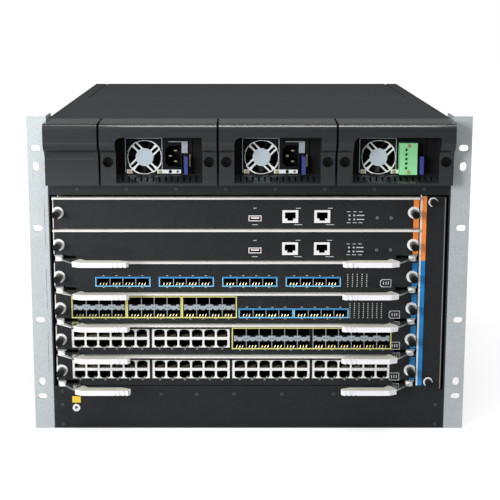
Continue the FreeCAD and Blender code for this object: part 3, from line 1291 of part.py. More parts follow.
def ejector_lever(slot, side):
    """Ejector lever: boss on the bracket's pin, steel arm, and moulded grip with notches near its end."""
    low = slot_bottom(slot)
    grip_low = low + LEVER_GRIP_LOW
    grip = plate_from(lever_grip_outline(side), LEVER_GRIP_HEIGHT, grip_low)
    notches = []
    for index in range(LEVER_GRIP_NOTCHES):
        x = mirrored(LEVER_GRIP_END - LEVER_NOTCH_START - LEVER_NOTCH_PITCH * index, side)
        notches.append(box(x - LEVER_NOTCH_WIDTH / 2, x + LEVER_NOTCH_WIDTH / 2, proud(LEVER_GRIP_FRONT),
                           proud(LEVER_GRIP_FRONT - LEVER_NOTCH_DEPTH), grip_low, grip_low + LEVER_GRIP_HEIGHT))
    arm = plate_from(lever_arm_outline(side), LEVER_ARM_SHEET, low + LEVER_ARM_LOW)
    x = mirrored(LEVER_PIVOT_INSET, side)
    y = proud(LEVER_PIVOT_PROUD)
    boss = rod_z(x, y, grip_low, low + LEVER_GRIP_LOW + LEVER_GRIP_HEIGHT - TOUCH_GAP, LEVER_BOSS_RADIUS)
    bore = rod_z(x, y, low, low + SLOT_PITCH, LEVER_PIN_RADIUS + PIN_CLEARANCE)
    return carve(join([carve(grip, notches), arm, boss]), [bore])


# ---------------------------------------------------------------- the whole switch
def build():
    """Make every node and write its file."""
    os.makedirs("parts", exist_ok=True)
    export("main_shell", main_shell())
    export("rear_wall", rear_wall())
    export("top_cover", top_cover())
    export("rear_top_plate", rear_top_plate())
    export("power_shelf", power_shelf())
    export("lower_front_panel", lower_front_panel())
    export("left_rack_ear", rack_ear(-1))
    export("right_rack_ear", rack_ear(1))
    export("left_card_guide", left_card_guide())
    export("fan_bay_wall", fan_bay_wall())
    export("tray_rails", tray_rails())
    export("slot_label_strip", slot_label_strip())
    export("backplane", backplane())
    export("power_backplane", power_backplane())
    export("earth_socket", earth_socket())
    export("case_screws", case_screws())
    export("blank_bezel", blank_bezel())
    export("bezel_screws", bezel_screws())
    for bay in range(SUPPLY_COUNT):
        number = bay + 1
        export(f"power_bezel_{number}", power_bezel(bay))
        export(f"power_supply_{number}", power_supply(bay))
        export(f"supply_fan_{number}", supply_fan(bay))
        export(f"supply_latch_{number}", supply_latch(bay))
        if has_terminals(bay):
            export("terminal_block", terminal_block(bay))
        else:
            export(f"supply_inlet_{number}", supply_inlet(bay))
    export("fan_tray", fan_tray())
    for index in range(TRAY_FAN_ROWS * TRAY_FAN_COLUMNS):
        export(f"tray_fan_{index + 1}", tray_fan(index))
    for slot in range(1, SLOT_COUNT + 1):
        export(f"card_{slot}_panel", card_panel(slot))
        export(f"card_{slot}_board", card_board(slot))
        if has_levers(slot):
            export(f"card_{slot}_left_lever", ejector_lever(slot, -1))
            export(f"card_{slot}_right_lever", ejector_lever(slot, 1))


build()
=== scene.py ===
"""Looks of the modular chassis switch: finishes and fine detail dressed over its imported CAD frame.

Every length is in millimetres until it reaches Blender, which works in metres. The frame is the CAD's:
origin at the middle of the base, +X to the right seen from the front, +Y to the back, +Z up.
"""
from __future__ import annotations

import json
import logging
import math
from dataclasses import dataclass, field
from enum import Enum
from typing import Callable, Iterable

import bmesh
import bpy
from mathutils import Matrix, Vector

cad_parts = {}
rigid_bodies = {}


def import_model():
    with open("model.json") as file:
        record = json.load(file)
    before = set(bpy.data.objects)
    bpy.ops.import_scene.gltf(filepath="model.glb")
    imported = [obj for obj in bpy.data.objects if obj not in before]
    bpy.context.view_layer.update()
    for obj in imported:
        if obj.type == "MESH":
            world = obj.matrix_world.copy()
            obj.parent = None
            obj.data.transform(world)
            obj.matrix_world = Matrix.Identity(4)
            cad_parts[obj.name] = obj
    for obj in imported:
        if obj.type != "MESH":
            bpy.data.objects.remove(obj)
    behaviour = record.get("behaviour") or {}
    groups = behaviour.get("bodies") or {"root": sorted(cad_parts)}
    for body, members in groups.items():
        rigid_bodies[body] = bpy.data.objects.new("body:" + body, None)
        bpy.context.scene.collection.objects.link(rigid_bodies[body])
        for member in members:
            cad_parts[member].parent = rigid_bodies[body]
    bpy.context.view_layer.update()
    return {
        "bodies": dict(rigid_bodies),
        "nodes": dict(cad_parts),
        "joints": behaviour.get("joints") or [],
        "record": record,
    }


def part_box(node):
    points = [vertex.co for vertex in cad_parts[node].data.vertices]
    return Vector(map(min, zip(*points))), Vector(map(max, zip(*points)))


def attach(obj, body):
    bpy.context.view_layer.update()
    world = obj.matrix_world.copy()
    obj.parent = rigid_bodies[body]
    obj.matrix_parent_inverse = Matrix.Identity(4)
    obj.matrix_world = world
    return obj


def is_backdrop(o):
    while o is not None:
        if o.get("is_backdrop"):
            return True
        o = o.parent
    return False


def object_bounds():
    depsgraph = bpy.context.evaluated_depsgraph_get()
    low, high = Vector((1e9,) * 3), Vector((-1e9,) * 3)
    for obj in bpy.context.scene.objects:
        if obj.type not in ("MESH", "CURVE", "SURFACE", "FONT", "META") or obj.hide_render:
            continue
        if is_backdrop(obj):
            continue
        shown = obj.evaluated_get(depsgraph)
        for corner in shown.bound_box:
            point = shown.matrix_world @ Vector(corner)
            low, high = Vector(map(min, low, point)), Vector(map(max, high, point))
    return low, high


LOG = logging.getLogger("scene")
MM = 0.001
COAT_ROUGHNESS = 0.08
RAMP_STOPS = (0.3, 0.7)      # where a finish's darker and lighter tones stand in its pattern
BUMP_STRENGTH = 0.6
SOFT_ANGLE = 40.0            # edges sharper than this are rounded, in degrees
FRAME: dict = {}


# ------------------------------------------------------------------ colour and nodes
def linear(hex_colour: str) -> tuple[float, float, float, float]:
    """Turn an sRGB hex colour into the linear values that shaders take.

    Args:
        hex_colour: Six hex digits with a leading hash.

    Returns:
        Linear red, green, blue and an alpha of one.
    """
    channels = [int(hex_colour[start:start + 2], 16) / 255 for start in (1, 3, 5)]
    bent = [c / 12.92 if c <= 0.04045 else ((c + 0.055) / 1.055) ** 2.4 for c in channels]
    return (bent[0], bent[1], bent[2], 1.0)


def add_node(tree: bpy.types.NodeTree, kind: str, settings: dict | None = None,
             links: dict | None = None) -> bpy.types.Node:
    """Add a node, set its values and link its inputs.

    Args:
        tree: The node tree that gets the node.
        kind: Blender's name for the node's type.
        settings: Values by socket name or index, or by the node's own property name.
        links: Output sockets by the name or index of the input that they feed.

    Returns:
        The new node.
    """
    node = tree.nodes.new(kind)
    for key, value in (settings or {}).items():
        if isinstance(key, int) or key in node.inputs:
            node.inputs[key].default_value = value
        else:
            setattr(node, key, value)
    for key, source in (links or {}).items():
        tree.links.new(source, node.inputs[key])
    return node


@dataclass(frozen=True)
class Finish:
    """A real material and the process that gives its surface. Subclasses give their own pattern.

    The mottle is the share by which the colour darkens and lightens in a broad pattern. The grain is fine
    relief.
    """

    name: str
    colour: str
    roughness: float
    metallic: float = 0.0
    grain_mm: float = 0.5
    grain_depth_mm: float = 0.02
    mottle: float = 0.08
    mottle_mm: float = 18.0
    specular: float = 0.5
    coat: float = 0.0

    def coordinates(self, tree: bpy.types.NodeTree) -> bpy.types.NodeSocket:
        """Object coordinates in millimetres.

        Args:
            tree: The material's node tree.

        Returns:
            The socket that holds them.
        """
        place = add_node(tree, "ShaderNodeTexCoord")
        scale = add_node(tree, "ShaderNodeVectorMath", {"operation": "SCALE", "Scale": 1 / MM},
                         {0: place.outputs["Object"]})
        return scale.outputs["Vector"]

    def pattern(self, tree: bpy.types.NodeTree, where: bpy.types.NodeSocket) -> bpy.types.NodeSocket:
        """The broad pattern from 0 to 1 that shades the colour.

        Args:
            tree: The material's node tree.
            where: Coordinates in millimetres.

        Returns:
            The socket that holds the pattern.
        """
        noise = add_node(tree, "ShaderNodeTexNoise", {"Scale": 1 / self.mottle_mm, "Detail": 4.0},
                         {"Vector": where})
        return noise.outputs["Fac"]

    def relief(self, tree: bpy.types.NodeTree, where: bpy.types.NodeSocket) -> bpy.types.NodeSocket:
        """The fine height pattern from 0 to 1 of the surface.

        Args:
            tree: The material's node tree.
            where: Coordinates in millimetres.

        Returns:
            The socket that holds the pattern.
        """
        noise = add_node(tree, "ShaderNodeTexNoise", {"Scale": 1 / self.grain_mm, "Detail": 2.0},
                         {"Vector": where})
        return noise.outputs["Fac"]

    def build(self) -> bpy.types.Material:
        """Make the material, or return it if it's already made.

        Returns:
            The Blender material.
        """
        made = bpy.data.materials.get(self.name)
        if made:
            return made
        material = bpy.data.materials.new(self.name)
        material.use_nodes = True
        tree = material.node_tree
        tree.nodes.clear()
        where = self.coordinates(tree)
        base = Vector(linear(self.colour)[:3])
        ramp = add_node(tree, "ShaderNodeValToRGB", {}, {"Fac": self.pattern(tree, where)})
        tones = (1 - self.mottle, 1 + self.mottle)
        for element, tone, stop in zip(ramp.color_ramp.elements, tones, RAMP_STOPS):
            element.position = stop
            element.color = (*[min(1.0, channel * tone) for channel in base], 1.0)
        bump = add_node(tree, "ShaderNodeBump",
                        {"Strength": BUMP_STRENGTH, "Distance": self.grain_depth_mm * MM},
                        {"Height": self.relief(tree, where)})
        shader = add_node(tree, "ShaderNodeBsdfPrincipled",
                          {"Roughness": self.roughness, "Metallic": self.metallic,
                           "Specular IOR Level": self.specular, "Coat Weight": self.coat,
                           "Coat Roughness": COAT_ROUGHNESS},
                          {"Base Color": ramp.outputs["Color"], "Normal": bump.outputs["Normal"]})
        add_node(tree, "ShaderNodeOutputMaterial", {}, {"Surface": shader.outputs["BSDF"]})
        return material


@dataclass(frozen=True)
class Spangled(Finish):
    """Zinc-plated sheet: small crystals give it a fine pale speckle."""

    def pattern(self, tree: bpy.types.NodeTree, where: bpy.types.NodeSocket) -> bpy.types.NodeSocket:
        """Crystal cells blended with a broad cloud. See Finish.pattern."""
        cells = add_node(tree, "ShaderNodeTexVoronoi", {"Scale": 1 / self.grain_mm}, {"Vector": where})
        cloud = super().pattern(tree, where)
        blend = add_node(tree, "ShaderNodeMix", {"data_type": "FLOAT", 0: 0.5},
                         {2: cells.outputs["Color"], 3: cloud})
        return blend.outputs[0]


@dataclass(frozen=True)
class Textured(Finish):
    """Stoved paint: its grain shows as a fine speckle, a little coarser than the real one."""

    def pattern(self, tree: bpy.types.NodeTree, where: bpy.types.NodeSocket) -> bpy.types.NodeSocket:
        """Fine noise blended with a broad cloud. See Finish.pattern."""
        fine = add_node(tree, "ShaderNodeTexNoise", {"Scale": 1 / (2 * self.grain_mm), "Detail": 1.0},
                        {"Vector": where})
        cloud = super().pattern(tree, where)
        blend = add_node(tree, "ShaderNodeMix", {"data_type": "FLOAT", 0: 0.3},
                         {2: fine.outputs["Fac"], 3: cloud})
        return blend.outputs[0]


@dataclass(frozen=True)
class Brushed(Finish):
    """Metal drawn or ground along X: fine lines in that direction."""

    def relief(self, tree: bpy.types.NodeTree, where: bpy.types.NodeSocket) -> bpy.types.NodeSocket:
        """Noise stretched along X. See Finish.relief."""
        stretched = add_node(tree, "ShaderNodeMapping", {"Scale": (0.03, 1.0, 1.0)}, {"Vector": where})
        noise = add_node(tree, "ShaderNodeTexNoise", {"Scale": 1 / self.grain_mm, "Detail": 3.0},
                         {"Vector": stretched.outputs["Vector"]})
        return noise.outputs["Fac"]


class Surface(Enum):
    """The finishes of the switch. Each comment says what the finish gives the eye."""

    # The covers: an even charcoal grey with a soft sheen and a faint orange-peel grain
    CASE = Finish("charcoal_powder_coat", "#2b2d2f", 0.55, grain_mm=0.7, grain_depth_mm=0.03, mottle=0.05,
                  specular=0.35)
    # Panels: near black, a little smoother than the covers, so the light from the left fades along them
    PANEL = Textured("dark_stoved_enamel", "#15171a", 0.4, grain_mm=0.8, mottle=0.5)
    # Inside the case: black steel without a sheen for walls, guides and rails, and painted shade on the
    # cover's lower faces, the shelf behind its front band, the supplies' fronts in their windows and the tray
    # behind its blade, so gaps and windows stay dark
    INNER_AND_SHADE = Finish("black_steel_and_painted_shade", "#0b0c0d", 0.7, mottle=0.1, specular=0.2)
    # Bezels: satin black plastic whose clear skin draws a thin bright line along every rounded edge
    BEZEL = Finish("satin_moulded_black_abs", "#1d1f22", 0.5, grain_mm=0.45, grain_depth_mm=0.01, mottle=0.04,
                   specular=0.3, coat=1.0)
    # Ears: pale grey metal with the small speckle of zinc crystals
    EAR = Spangled("hot_dipped_zinc", "#bcc4c7", 0.5, metallic=0.3, grain_mm=1.6, grain_depth_mm=0.01,
                   mottle=0.07, mottle_mm=30.0)
    # Lips and edges: a bright line along the top of each card, with fine lines along it
    LIP = Brushed("clear_anodised_aluminium", "#f2f1ec", 0.35, metallic=0.3, mottle=0.03)
    # Painted glint: a small white triangle of painted highlight low in each lower copper socket
    PAINTED_GLINT = Finish("painted_glint_white", "#eef0f1", 0.3, metallic=0.35, mottle=0.04)
    # Small case screws: dull dark heads with a soft glint
    SCREW = Finish("black_zinc_screw", "#4c4f51", 0.3, metallic=0.6, mottle=0.1)
    # Lever arms: a mirror that takes the dark of the panel on top and the white of the room on its edges; the
    # same bright zinc draws the painted highlight along the cover's seam
    ZINC_AND_HIGHLIGHT = Brushed("bright_zinc_and_painted_highlight", "#c9cccc", 0.2, metallic=1.0, grain_depth_mm=0.004, mottle=0.06)
    # Lever tops: the levers' one pale plastic in a warm grey of painted shade, darker than the fronts
    GRIP_SHADED = Finish("moulded_pale_abs_painted_shade", "#c6c4b8", 0.5, grain_mm=0.6, grain_depth_mm=0.015, mottle=0.03)
    # Lever fronts: the same pale plastic nearly white and a little cool, as painted light
    GRIP_FRONT_LIT = Finish("moulded_pale_abs_painted_light", "#f0eff4", 0.45, grain_mm=0.6, grain_depth_mm=0.01,
                        mottle=0.02)
    # Thumbscrew knobs: soft black dots on their white discs; the bezel screws take the same black as painted
    # shade deep in their wells
    KNOB_AND_SHADE = Finish("black_nylon_and_painted_shade", "#08080a", 0.3, mottle=0.1, specular=0.4)
    # Slot strip and card ends, upper two slots: flat warm orange
    ORANGE = Finish("orange_polyester_film", "#f58a3c", 0.4, grain_depth_mm=0.005, mottle=0.02)
    # Slot strip and card ends, lower four slots: flat clear blue
    BLUE = Finish("blue_polyester_film", "#0d80c6", 0.4, grain_depth_mm=0.005, mottle=0.02)
    # Outline of the single cage rows: a thin light-blue line
    INK_BLUE = Finish("light_blue_screen_ink", "#7cc6ee", 0.5, grain_depth_mm=0.004, mottle=0.03)
    # Strip over each single cage row: a deeper blue than its outline
    INK_DEEP = Finish("deep_blue_screen_ink", "#3280b8", 0.5, grain_depth_mm=0.004, mottle=0.03)
    # Outline of the stacked cage rows: a thin pale-yellow line
    INK_YELLOW = Finish("yellow_screen_ink", "#e2df86", 0.5, grain_depth_mm=0.004, mottle=0.03)
    # Small printed marks: soft grey-white specks
    INK_WHITE = Finish("white_screen_ink", "#c4c8c9", 0.55, grain_depth_mm=0.004, mottle=0.02)
    # Copper port faces and jacks: clean silver-white metal
    SHIELD = Finish("stamped_nickel_silver", "#f4f5f2", 0.36, metallic=0.2, mottle=0.05, mottle_mm=6.0)
    # Shield between stacked cages: cooler silver, with a cloudy tin sheen
    CAGE = Finish("stamped_tin_plate", "#b4bec5", 0.34, metallic=0.45, mottle=0.1, mottle_mm=4.0)
    # Inside of ports: black, the socket bodies' own polymer, and painted shade inside the metal cages and on
    # holes, notches and slots drawn as dark patches, so every opening reads as deep
    SOCKET_AND_SHADE = Finish("black_polymer_and_painted_shade", "#070708", 0.6, mottle=0.2, specular=0.2)
    # Inside of the upper copper ports: a dark warm brown
    SOCKET_WARM = Finish("brown_glass_filled_polymer", "#5a3a24", 0.5, mottle=0.2, mottle_mm=4.0)
    # Contacts: pale gold lines deep in the ports
    GOLD = Finish("gold_flashed_bronze", "#f0e0b0", 0.28, metallic=0.5, mottle=0.05)
    # Bus port tongue: pale warm plastic in a dark opening
    TONGUE = Finish("moulded_pale_pink_polymer", "#ecd9d2", 0.45, mottle=0.03)
    # Boards: dark glossy green, seen only from behind and through gaps
    BOARD = Finish("green_solder_mask", "#1c4a2c", 0.35, grain_mm=1.2, grain_depth_mm=0.03, mottle=0.12)
    # Supply cases: plain silvery sheet with drawn lines
    SUPPLY = Brushed("aluminised_steel", "#8e9495", 0.4, metallic=0.6, mottle=0.06)
    # Fan frames and plates on the supplies: pale, almost white
    FAN_FRAME = Finish("moulded_pale_grey_polymer", "#e6ebea", 0.4, mottle=0.03)
    # Disc on each fan motor: matt pale blue-grey
    HUB = Finish("pale_blue_grey_film", "#bccad4", 0.6, grain_depth_mm=0.004, mottle=0.03)
    # Fan blades: black with a slight sheen, so they show between the struts
    FAN = Finish("moulded_black_pbt", "#141517", 0.35, mottle=0.08)
    # Supply latches: a strong blue violet
    LATCH = Finish("moulded_blue_violet_abs", "#353f86", 0.38, mottle=0.05)
    # Terminal block: fresh light green
    TERMINAL = Finish("moulded_green_polyamide", "#8fdc9c", 0.42, mottle=0.05)
    # Screws and bars on the supplies: soft yellow metal
    BRASS = Finish("turned_brass", "#cfbb86", 0.3, metallic=0.6, mottle=0.06)
    # Thumbscrew discs and pivot blocks: clean white
    WHITE = Finish("moulded_white_nylon", "#f4f5f4", 0.45, mottle=0.02)
    # Lamps: small unlit grey-green lenses
    LENS = Finish("smoked_polycarbonate", "#b9c4bc", 0.2, mottle=0.1, mottle_mm=2.0)
    # Tag on the lower panel: flat bright yellow
    TAG = Finish("yellow_coated_paper", "#f3d23c", 0.55, grain_depth_mm=0.004, mottle=0.03)

    def material(self) -> bpy.types.Material:
        """The Blender material of this finish."""
        return self.value.build()


Rule = Callable[[Vector, Vector], Surface | None]    # a face's middle and normal give its finish, or None


# ------------------------------------------------------------------ meshes in millimetres
@dataclass
class Shape:
    """A mesh being put together from closed pieces, each with one of the given finishes."""

    name: str
    finishes: list[Surface]
    mesh: bmesh.types.BMesh = field(default_factory=bmesh.new)

    def slot(self, surface: Surface) -> int:
        """Index of a finish among this shape's own, added if it is new.

        Args:
            surface: Its finish.

        Returns:
            Its index.
        """
        if surface not in self.finishes:
            self.finishes.append(surface)
        return self.finishes.index(surface)

    def prism(self, outline: Iterable[tuple[float, float, float]], along: tuple[float, float, float],
              surface: Surface) -> None:
        """Add a closed prism.

        Args:
            outline: The corners of one end, in order.
            along: The vector from that end to the other.
            surface: Its finish.
        """
        first = [self.mesh.verts.new(Vector(corner) * MM) for corner in outline]
        second = [self.mesh.verts.new(vert.co + Vector(along) * MM) for vert in first]
        faces = [self.mesh.faces.new(first), self.mesh.faces.new(second[::-1])]
        for index in range(len(first)):
            after = (index + 1) % len(first)
            faces.append(self.mesh.faces.new([first[after], first[index], second[index], second[after]]))
        index = self.slot(surface)
        for face in faces:
            face.material_index = index

    def block(self, low: tuple[float, float, float], high: tuple[float, float, float],
              surface: Surface) -> None:
        """Add a box between two corners.

        Args:
            low: Its lowest corner.
            high: Its highest corner.
            surface: Its finish.
        """
        corners = [(low[0], low[1], low[2]), (high[0], low[1], low[2]), (high[0], low[1], high[2]),
                   (low[0], low[1], high[2])]
        self.prism(corners, (0, high[1] - low[1], 0), surface)

    def rod(self, centre: tuple[float, float, float], along: tuple[float, float, float], radius: float,
            surface: Surface, sides: int = 24) -> None:
        """Add a round bar.

        Args:
            centre: The middle of its first end.
            along: The vector from there to the middle of its other end.
            radius: Its radius.
            surface: Its finish.
            sides: How many flat sides stand for the round.
        """
        direction = Vector(along).normalized()
        turn = Vector((0, 0, 1)).rotation_difference(direction)
        ring = []
        for index in range(sides):
            angle = 2 * math.pi * index / sides
            flat = turn @ Vector((radius * math.cos(angle), radius * math.sin(angle), 0))
            ring.append(tuple(Vector(centre) + flat))
        self.prism(ring, along, surface)

    def frame(self, outer: tuple[float, float, float, float], inner: tuple[float, float, float, float],
              y_front: float, y_back: float, surface: Surface) -> None:
        """Add a flat rectangular ring that faces the front.

        Args:
            outer: Its outer x0, x1, z0 and z1.
            inner: Its inner x0, x1, z0 and z1.
            y_front: Y of its front face.
            y_back: Y of its back face.
            surface: Its finish.
        """
        self.block((outer[0], y_front, outer[2]), (outer[1], y_back, inner[2]), surface)
        self.block((outer[0], y_front, inner[3]), (outer[1], y_back, outer[3]), surface)
        self.block((outer[0], y_front, inner[2]), (inner[0], y_back, inner[3]), surface)
        self.block((inner[1], y_front, inner[2]), (outer[1], y_back, inner[3]), surface)

    def make(self, body: str, bevel: float = 0.0) -> bpy.types.Object:
        """Finish the mesh as an object that rides on a CAD body.

        Args:
            body: The name of the CAD body.
            bevel: Width of the rounded edges, in millimetres.

        Returns:
            The new object.
        """
        bmesh.ops.recalc_face_normals(self.mesh, faces=self.mesh.faces)
        data = bpy.data.meshes.new(self.name)
        self.mesh.to_mesh(data)
        self.mesh.free()
        piece = bpy.data.objects.new(self.name, data)
        bpy.context.collection.objects.link(piece)
        for surface in self.finishes:
            data.materials.append(surface.material())
        soften(piece, bevel)
        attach(piece, body)
        LOG.info("%s: %d faces, rides on %s", self.name, len(data.polygons), body)
        return piece


def soften(piece: bpy.types.Object, bevel: float) -> None:
    """Round an object's sharp edges.

    Args:
        piece: The object.
        bevel: Width of the rounding in millimetres, or 0 for none.
    """
    if bevel:
        edge = piece.modifiers.new("edges", "BEVEL")
        edge.width = bevel * MM
        edge.segments = 2
        edge.limit_method = "ANGLE"
        edge.angle_limit = math.radians(SOFT_ANGLE)
        edge.use_clamp_overlap = True


def dress(node: str, surface: Surface, rule: Rule | None = None, bevel: float = 0.0) -> None:
    """Give a CAD node its finishes.

    Args:
        node: The CAD node's name.
        surface: Its main finish.
        rule: Gives another finish for a face from its middle, in millimetres, and its normal.
        bevel: Width of the rounded edges, in millimetres.
    """
    piece = FRAME["nodes"][node]
    faces = piece.data.polygons
    chosen = [(rule(face.center / MM, face.normal) if rule else None) or surface for face in faces]
    slots = list(dict.fromkeys([surface, *chosen]))
    piece.data.materials.clear()
    for finish in slots:
        piece.data.materials.append(finish.material())
    for face, finish in zip(faces, chosen):
        face.material_index = slots.index(finish)
    soften(piece, bevel)
    LOG.info("%s: %s", node, ", ".join(finish.value.name for finish in slots))


def corners(node: str) -> tuple[Vector, Vector]:
    """Lowest and highest corner of a CAD node, in millimetres."""
    low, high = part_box(node)
    return low / MM, high / MM


# ------------------------------------------------------------------ places taken from the frame
CARD_COUNT = 6
CONTROL_CARDS = 2
LEVER_CARDS = range(2, CARD_COUNT + 1)
SUPPLY_COUNT = 3
TRAY_FANS = 4
PANEL_GAP = 0.8          # between one card's panel and the next
SUNK = 0.05              # what is stuck or printed on a face starts this far inside it
INK_PROUD = 0.06
MARK_HEIGHT = 0.7
SIDES = ("left", "right")


@dataclass(frozen=True)
class Places:
    """Planes and edges of the chassis that its details are set out from."""

    front: float
    card_left: float
    card_right: float
    pitch: float
    slot_lows: tuple[float, ...]

    @classmethod
    def read(cls) -> "Places":
        """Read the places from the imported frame.

        Returns:
            The places, with the lower boundary of each card's slot from the top slot down.
        """
        bottoms = []
        for number in range(1, CARD_COUNT + 1):
            low, _ = corners(f"card_{number}_panel")
            bottoms.append(low.z)
        low, high = corners("card_1_panel")
        ear, _ = corners("left_rack_ear")
        pitch = (bottoms[0] - bottoms[-1]) / (CARD_COUNT - 1)
        return cls(ear.y, low.x, high.x, pitch, tuple(bottom - PANEL_GAP / 2 for bottom in bottoms))

    def slot_low(self, number: int) -> float:
        """Lower boundary of a card's slot."""
        return self.slot_lows[number - 1]


def marks(shape: Shape, x: float, front: float, z: float, width: float) -> None:
    """Add a small plain printed mark, centred on x, that stands for the tiny print beside a port.

    Args:
        shape: The shape that takes it.
        x: Its middle.
        front: Y of the face that it is printed on.
        z: Its lower edge.
        width: Its width.
    """
    shape.block((x - width / 2, front - INK_PROUD, z), (x + width / 2, front + SUNK, z + MARK_HEIGHT),
                Surface.INK_WHITE)


# ------------------------------------------------------------------ case
@dataclass(frozen=True)
class Case:
    """Shell, covers, ears, shelf and panels."""

    cover_shade: float = 3.0        # what hangs further below the cover's top is in shade
    edge_depth: float = 2.0         # depth of the faces that count as a sheet's front edge
    film_shift: float = 0.05        # how far the orange film stands in front of the strip
    pin_radius: float = 0.5
    pin_start: float = 0.02
    pin_length: float = 0.06
    seam_inset: float = 1.0
    seam_front: float = 0.9         # the painted highlight's faces, before the cover's rear edge
    seam_back: float = 0.1
    seam_depth: float = 0.1
    seam_proud: float = 0.02
    tag_half: float = 4.7
    tag_thick: float = 0.2
    tag_rise: float = 1.4           # over the earth socket
    tag_top: float = 8.9

    def build(self, places: Places) -> None:
        """Dress the case's CAD nodes and add its small parts.

        Args:
            places: The chassis's places.
        """
        dress("main_shell", Surface.CASE, bevel=0.3)
        dress("rear_wall", Surface.CASE, bevel=0.3)
        dress("top_cover", Surface.CASE, self.cover_rule(), bevel=0.3)
        dress("rear_top_plate", Surface.CASE, bevel=0.2)
        dress("power_shelf", Surface.PANEL, self.shelf_rule(places))
        dress("lower_front_panel", Surface.PANEL, bevel=0.3)
        for side in SIDES:
            dress(f"{side}_rack_ear", Surface.EAR, bevel=0.3)
        dress("left_card_guide", Surface.INNER_AND_SHADE)
        dress("fan_bay_wall", Surface.INNER_AND_SHADE, self.wall_rule(places))
        dress("backplane", Surface.BOARD)
        dress("power_backplane", Surface.BOARD)
        dress("earth_socket", Surface.WHITE)
        dress("case_screws", Surface.SCREW)
        dress("tray_rails", Surface.INNER_AND_SHADE)
        dress("slot_label_strip", Surface.BLUE)
        self.orange_part(places)
        self.tag(places)
        self.seam_highlight()

    def cover_rule(self) -> Rule:
        """What hangs below the cover's plate is in shade.

        Returns:
            The rule, for dress.
        """
        _, high = corners("top_cover")

        def rule(centre: Vector, normal: Vector) -> Surface | None:
            """Pick the finish of one face."""
            return Surface.INNER_AND_SHADE if centre.z < high.z - self.cover_shade else None
        return rule

    def shelf_rule(self, places: Places) -> Rule:
        """Only the shelf's front band shows the paint: the rest is in shade.

        Args:
            places: The chassis's places.

        Returns:
            The rule, for dress.
        """
        def rule(centre: Vector, normal: Vector) -> Surface | None:
            """Pick the finish of one face."""
            return None if centre.y < places.front + self.edge_depth else Surface.INNER_AND_SHADE
        return rule

    def wall_rule(self, places: Places) -> Rule:
        """The wall's front edge takes the bright finish.

        Args:
            places: The chassis's places.

        Returns:
            The rule, for dress.
        """
        def rule(centre: Vector, normal: Vector) -> Surface | None:
            """Pick the finish of one face."""
            return Surface.LIP if centre.y < places.front + self.edge_depth else None
        return rule

    def orange_part(self, places: Places) -> None:
        """Orange film over the upper part of the slot strip, and the strip's pin holes.

        Args:
            places: The chassis's places.
        """
        low, high = corners("slot_label_strip")
        middle = (low.x + high.x) / 2
        film = Shape("slot_strip_orange_film", [])
        for number in range(1, CARD_COUNT + 1):
            # the strip's pin holes drawn as dark discs of painted shade
            film.rod((middle, low.y - self.pin_start, places.slot_low(number) + places.pitch / 2),
                     (0, -self.pin_length, 0), self.pin_radius, Surface.SOCKET_AND_SHADE, 10)
        film.block((low.x, low.y - self.film_shift, places.slot_low(CONTROL_CARDS)),
                   (high.x, high.y - self.film_shift, high.z), Surface.ORANGE)
        film.make("chassis")

    def tag(self, places: Places) -> None:
        """Plain yellow tag over the earth socket.

        Args:
            places: The chassis's places.
        """
        low, high = corners("earth_socket")
        middle = (low.x + high.x) / 2
        tag = Shape("earth_tag", [])
        tag.block((middle - self.tag_half, places.front - self.tag_thick, high.z + self.tag_rise),
                  (middle + self.tag_half, places.front, high.z + self.tag_top), Surface.TAG)
        tag.make("chassis")

    def seam_highlight(self) -> None:
        """Painted highlight on the front cover's rear edge at the seam, a fine lighter line across the top.
        """
        low, high = corners("top_cover")
        edge = Shape("cover_seam_painted_highlight", [])
        # a strip of bright zinc as painted highlight along the seam
        edge.block((low.x + self.seam_inset, high.y - self.seam_front, high.z - self.seam_depth),
                   (high.x - self.seam_inset, high.y - self.seam_back, high.z + self.seam_proud), Surface.ZINC_AND_HIGHLIGHT)
        edge.make("chassis")


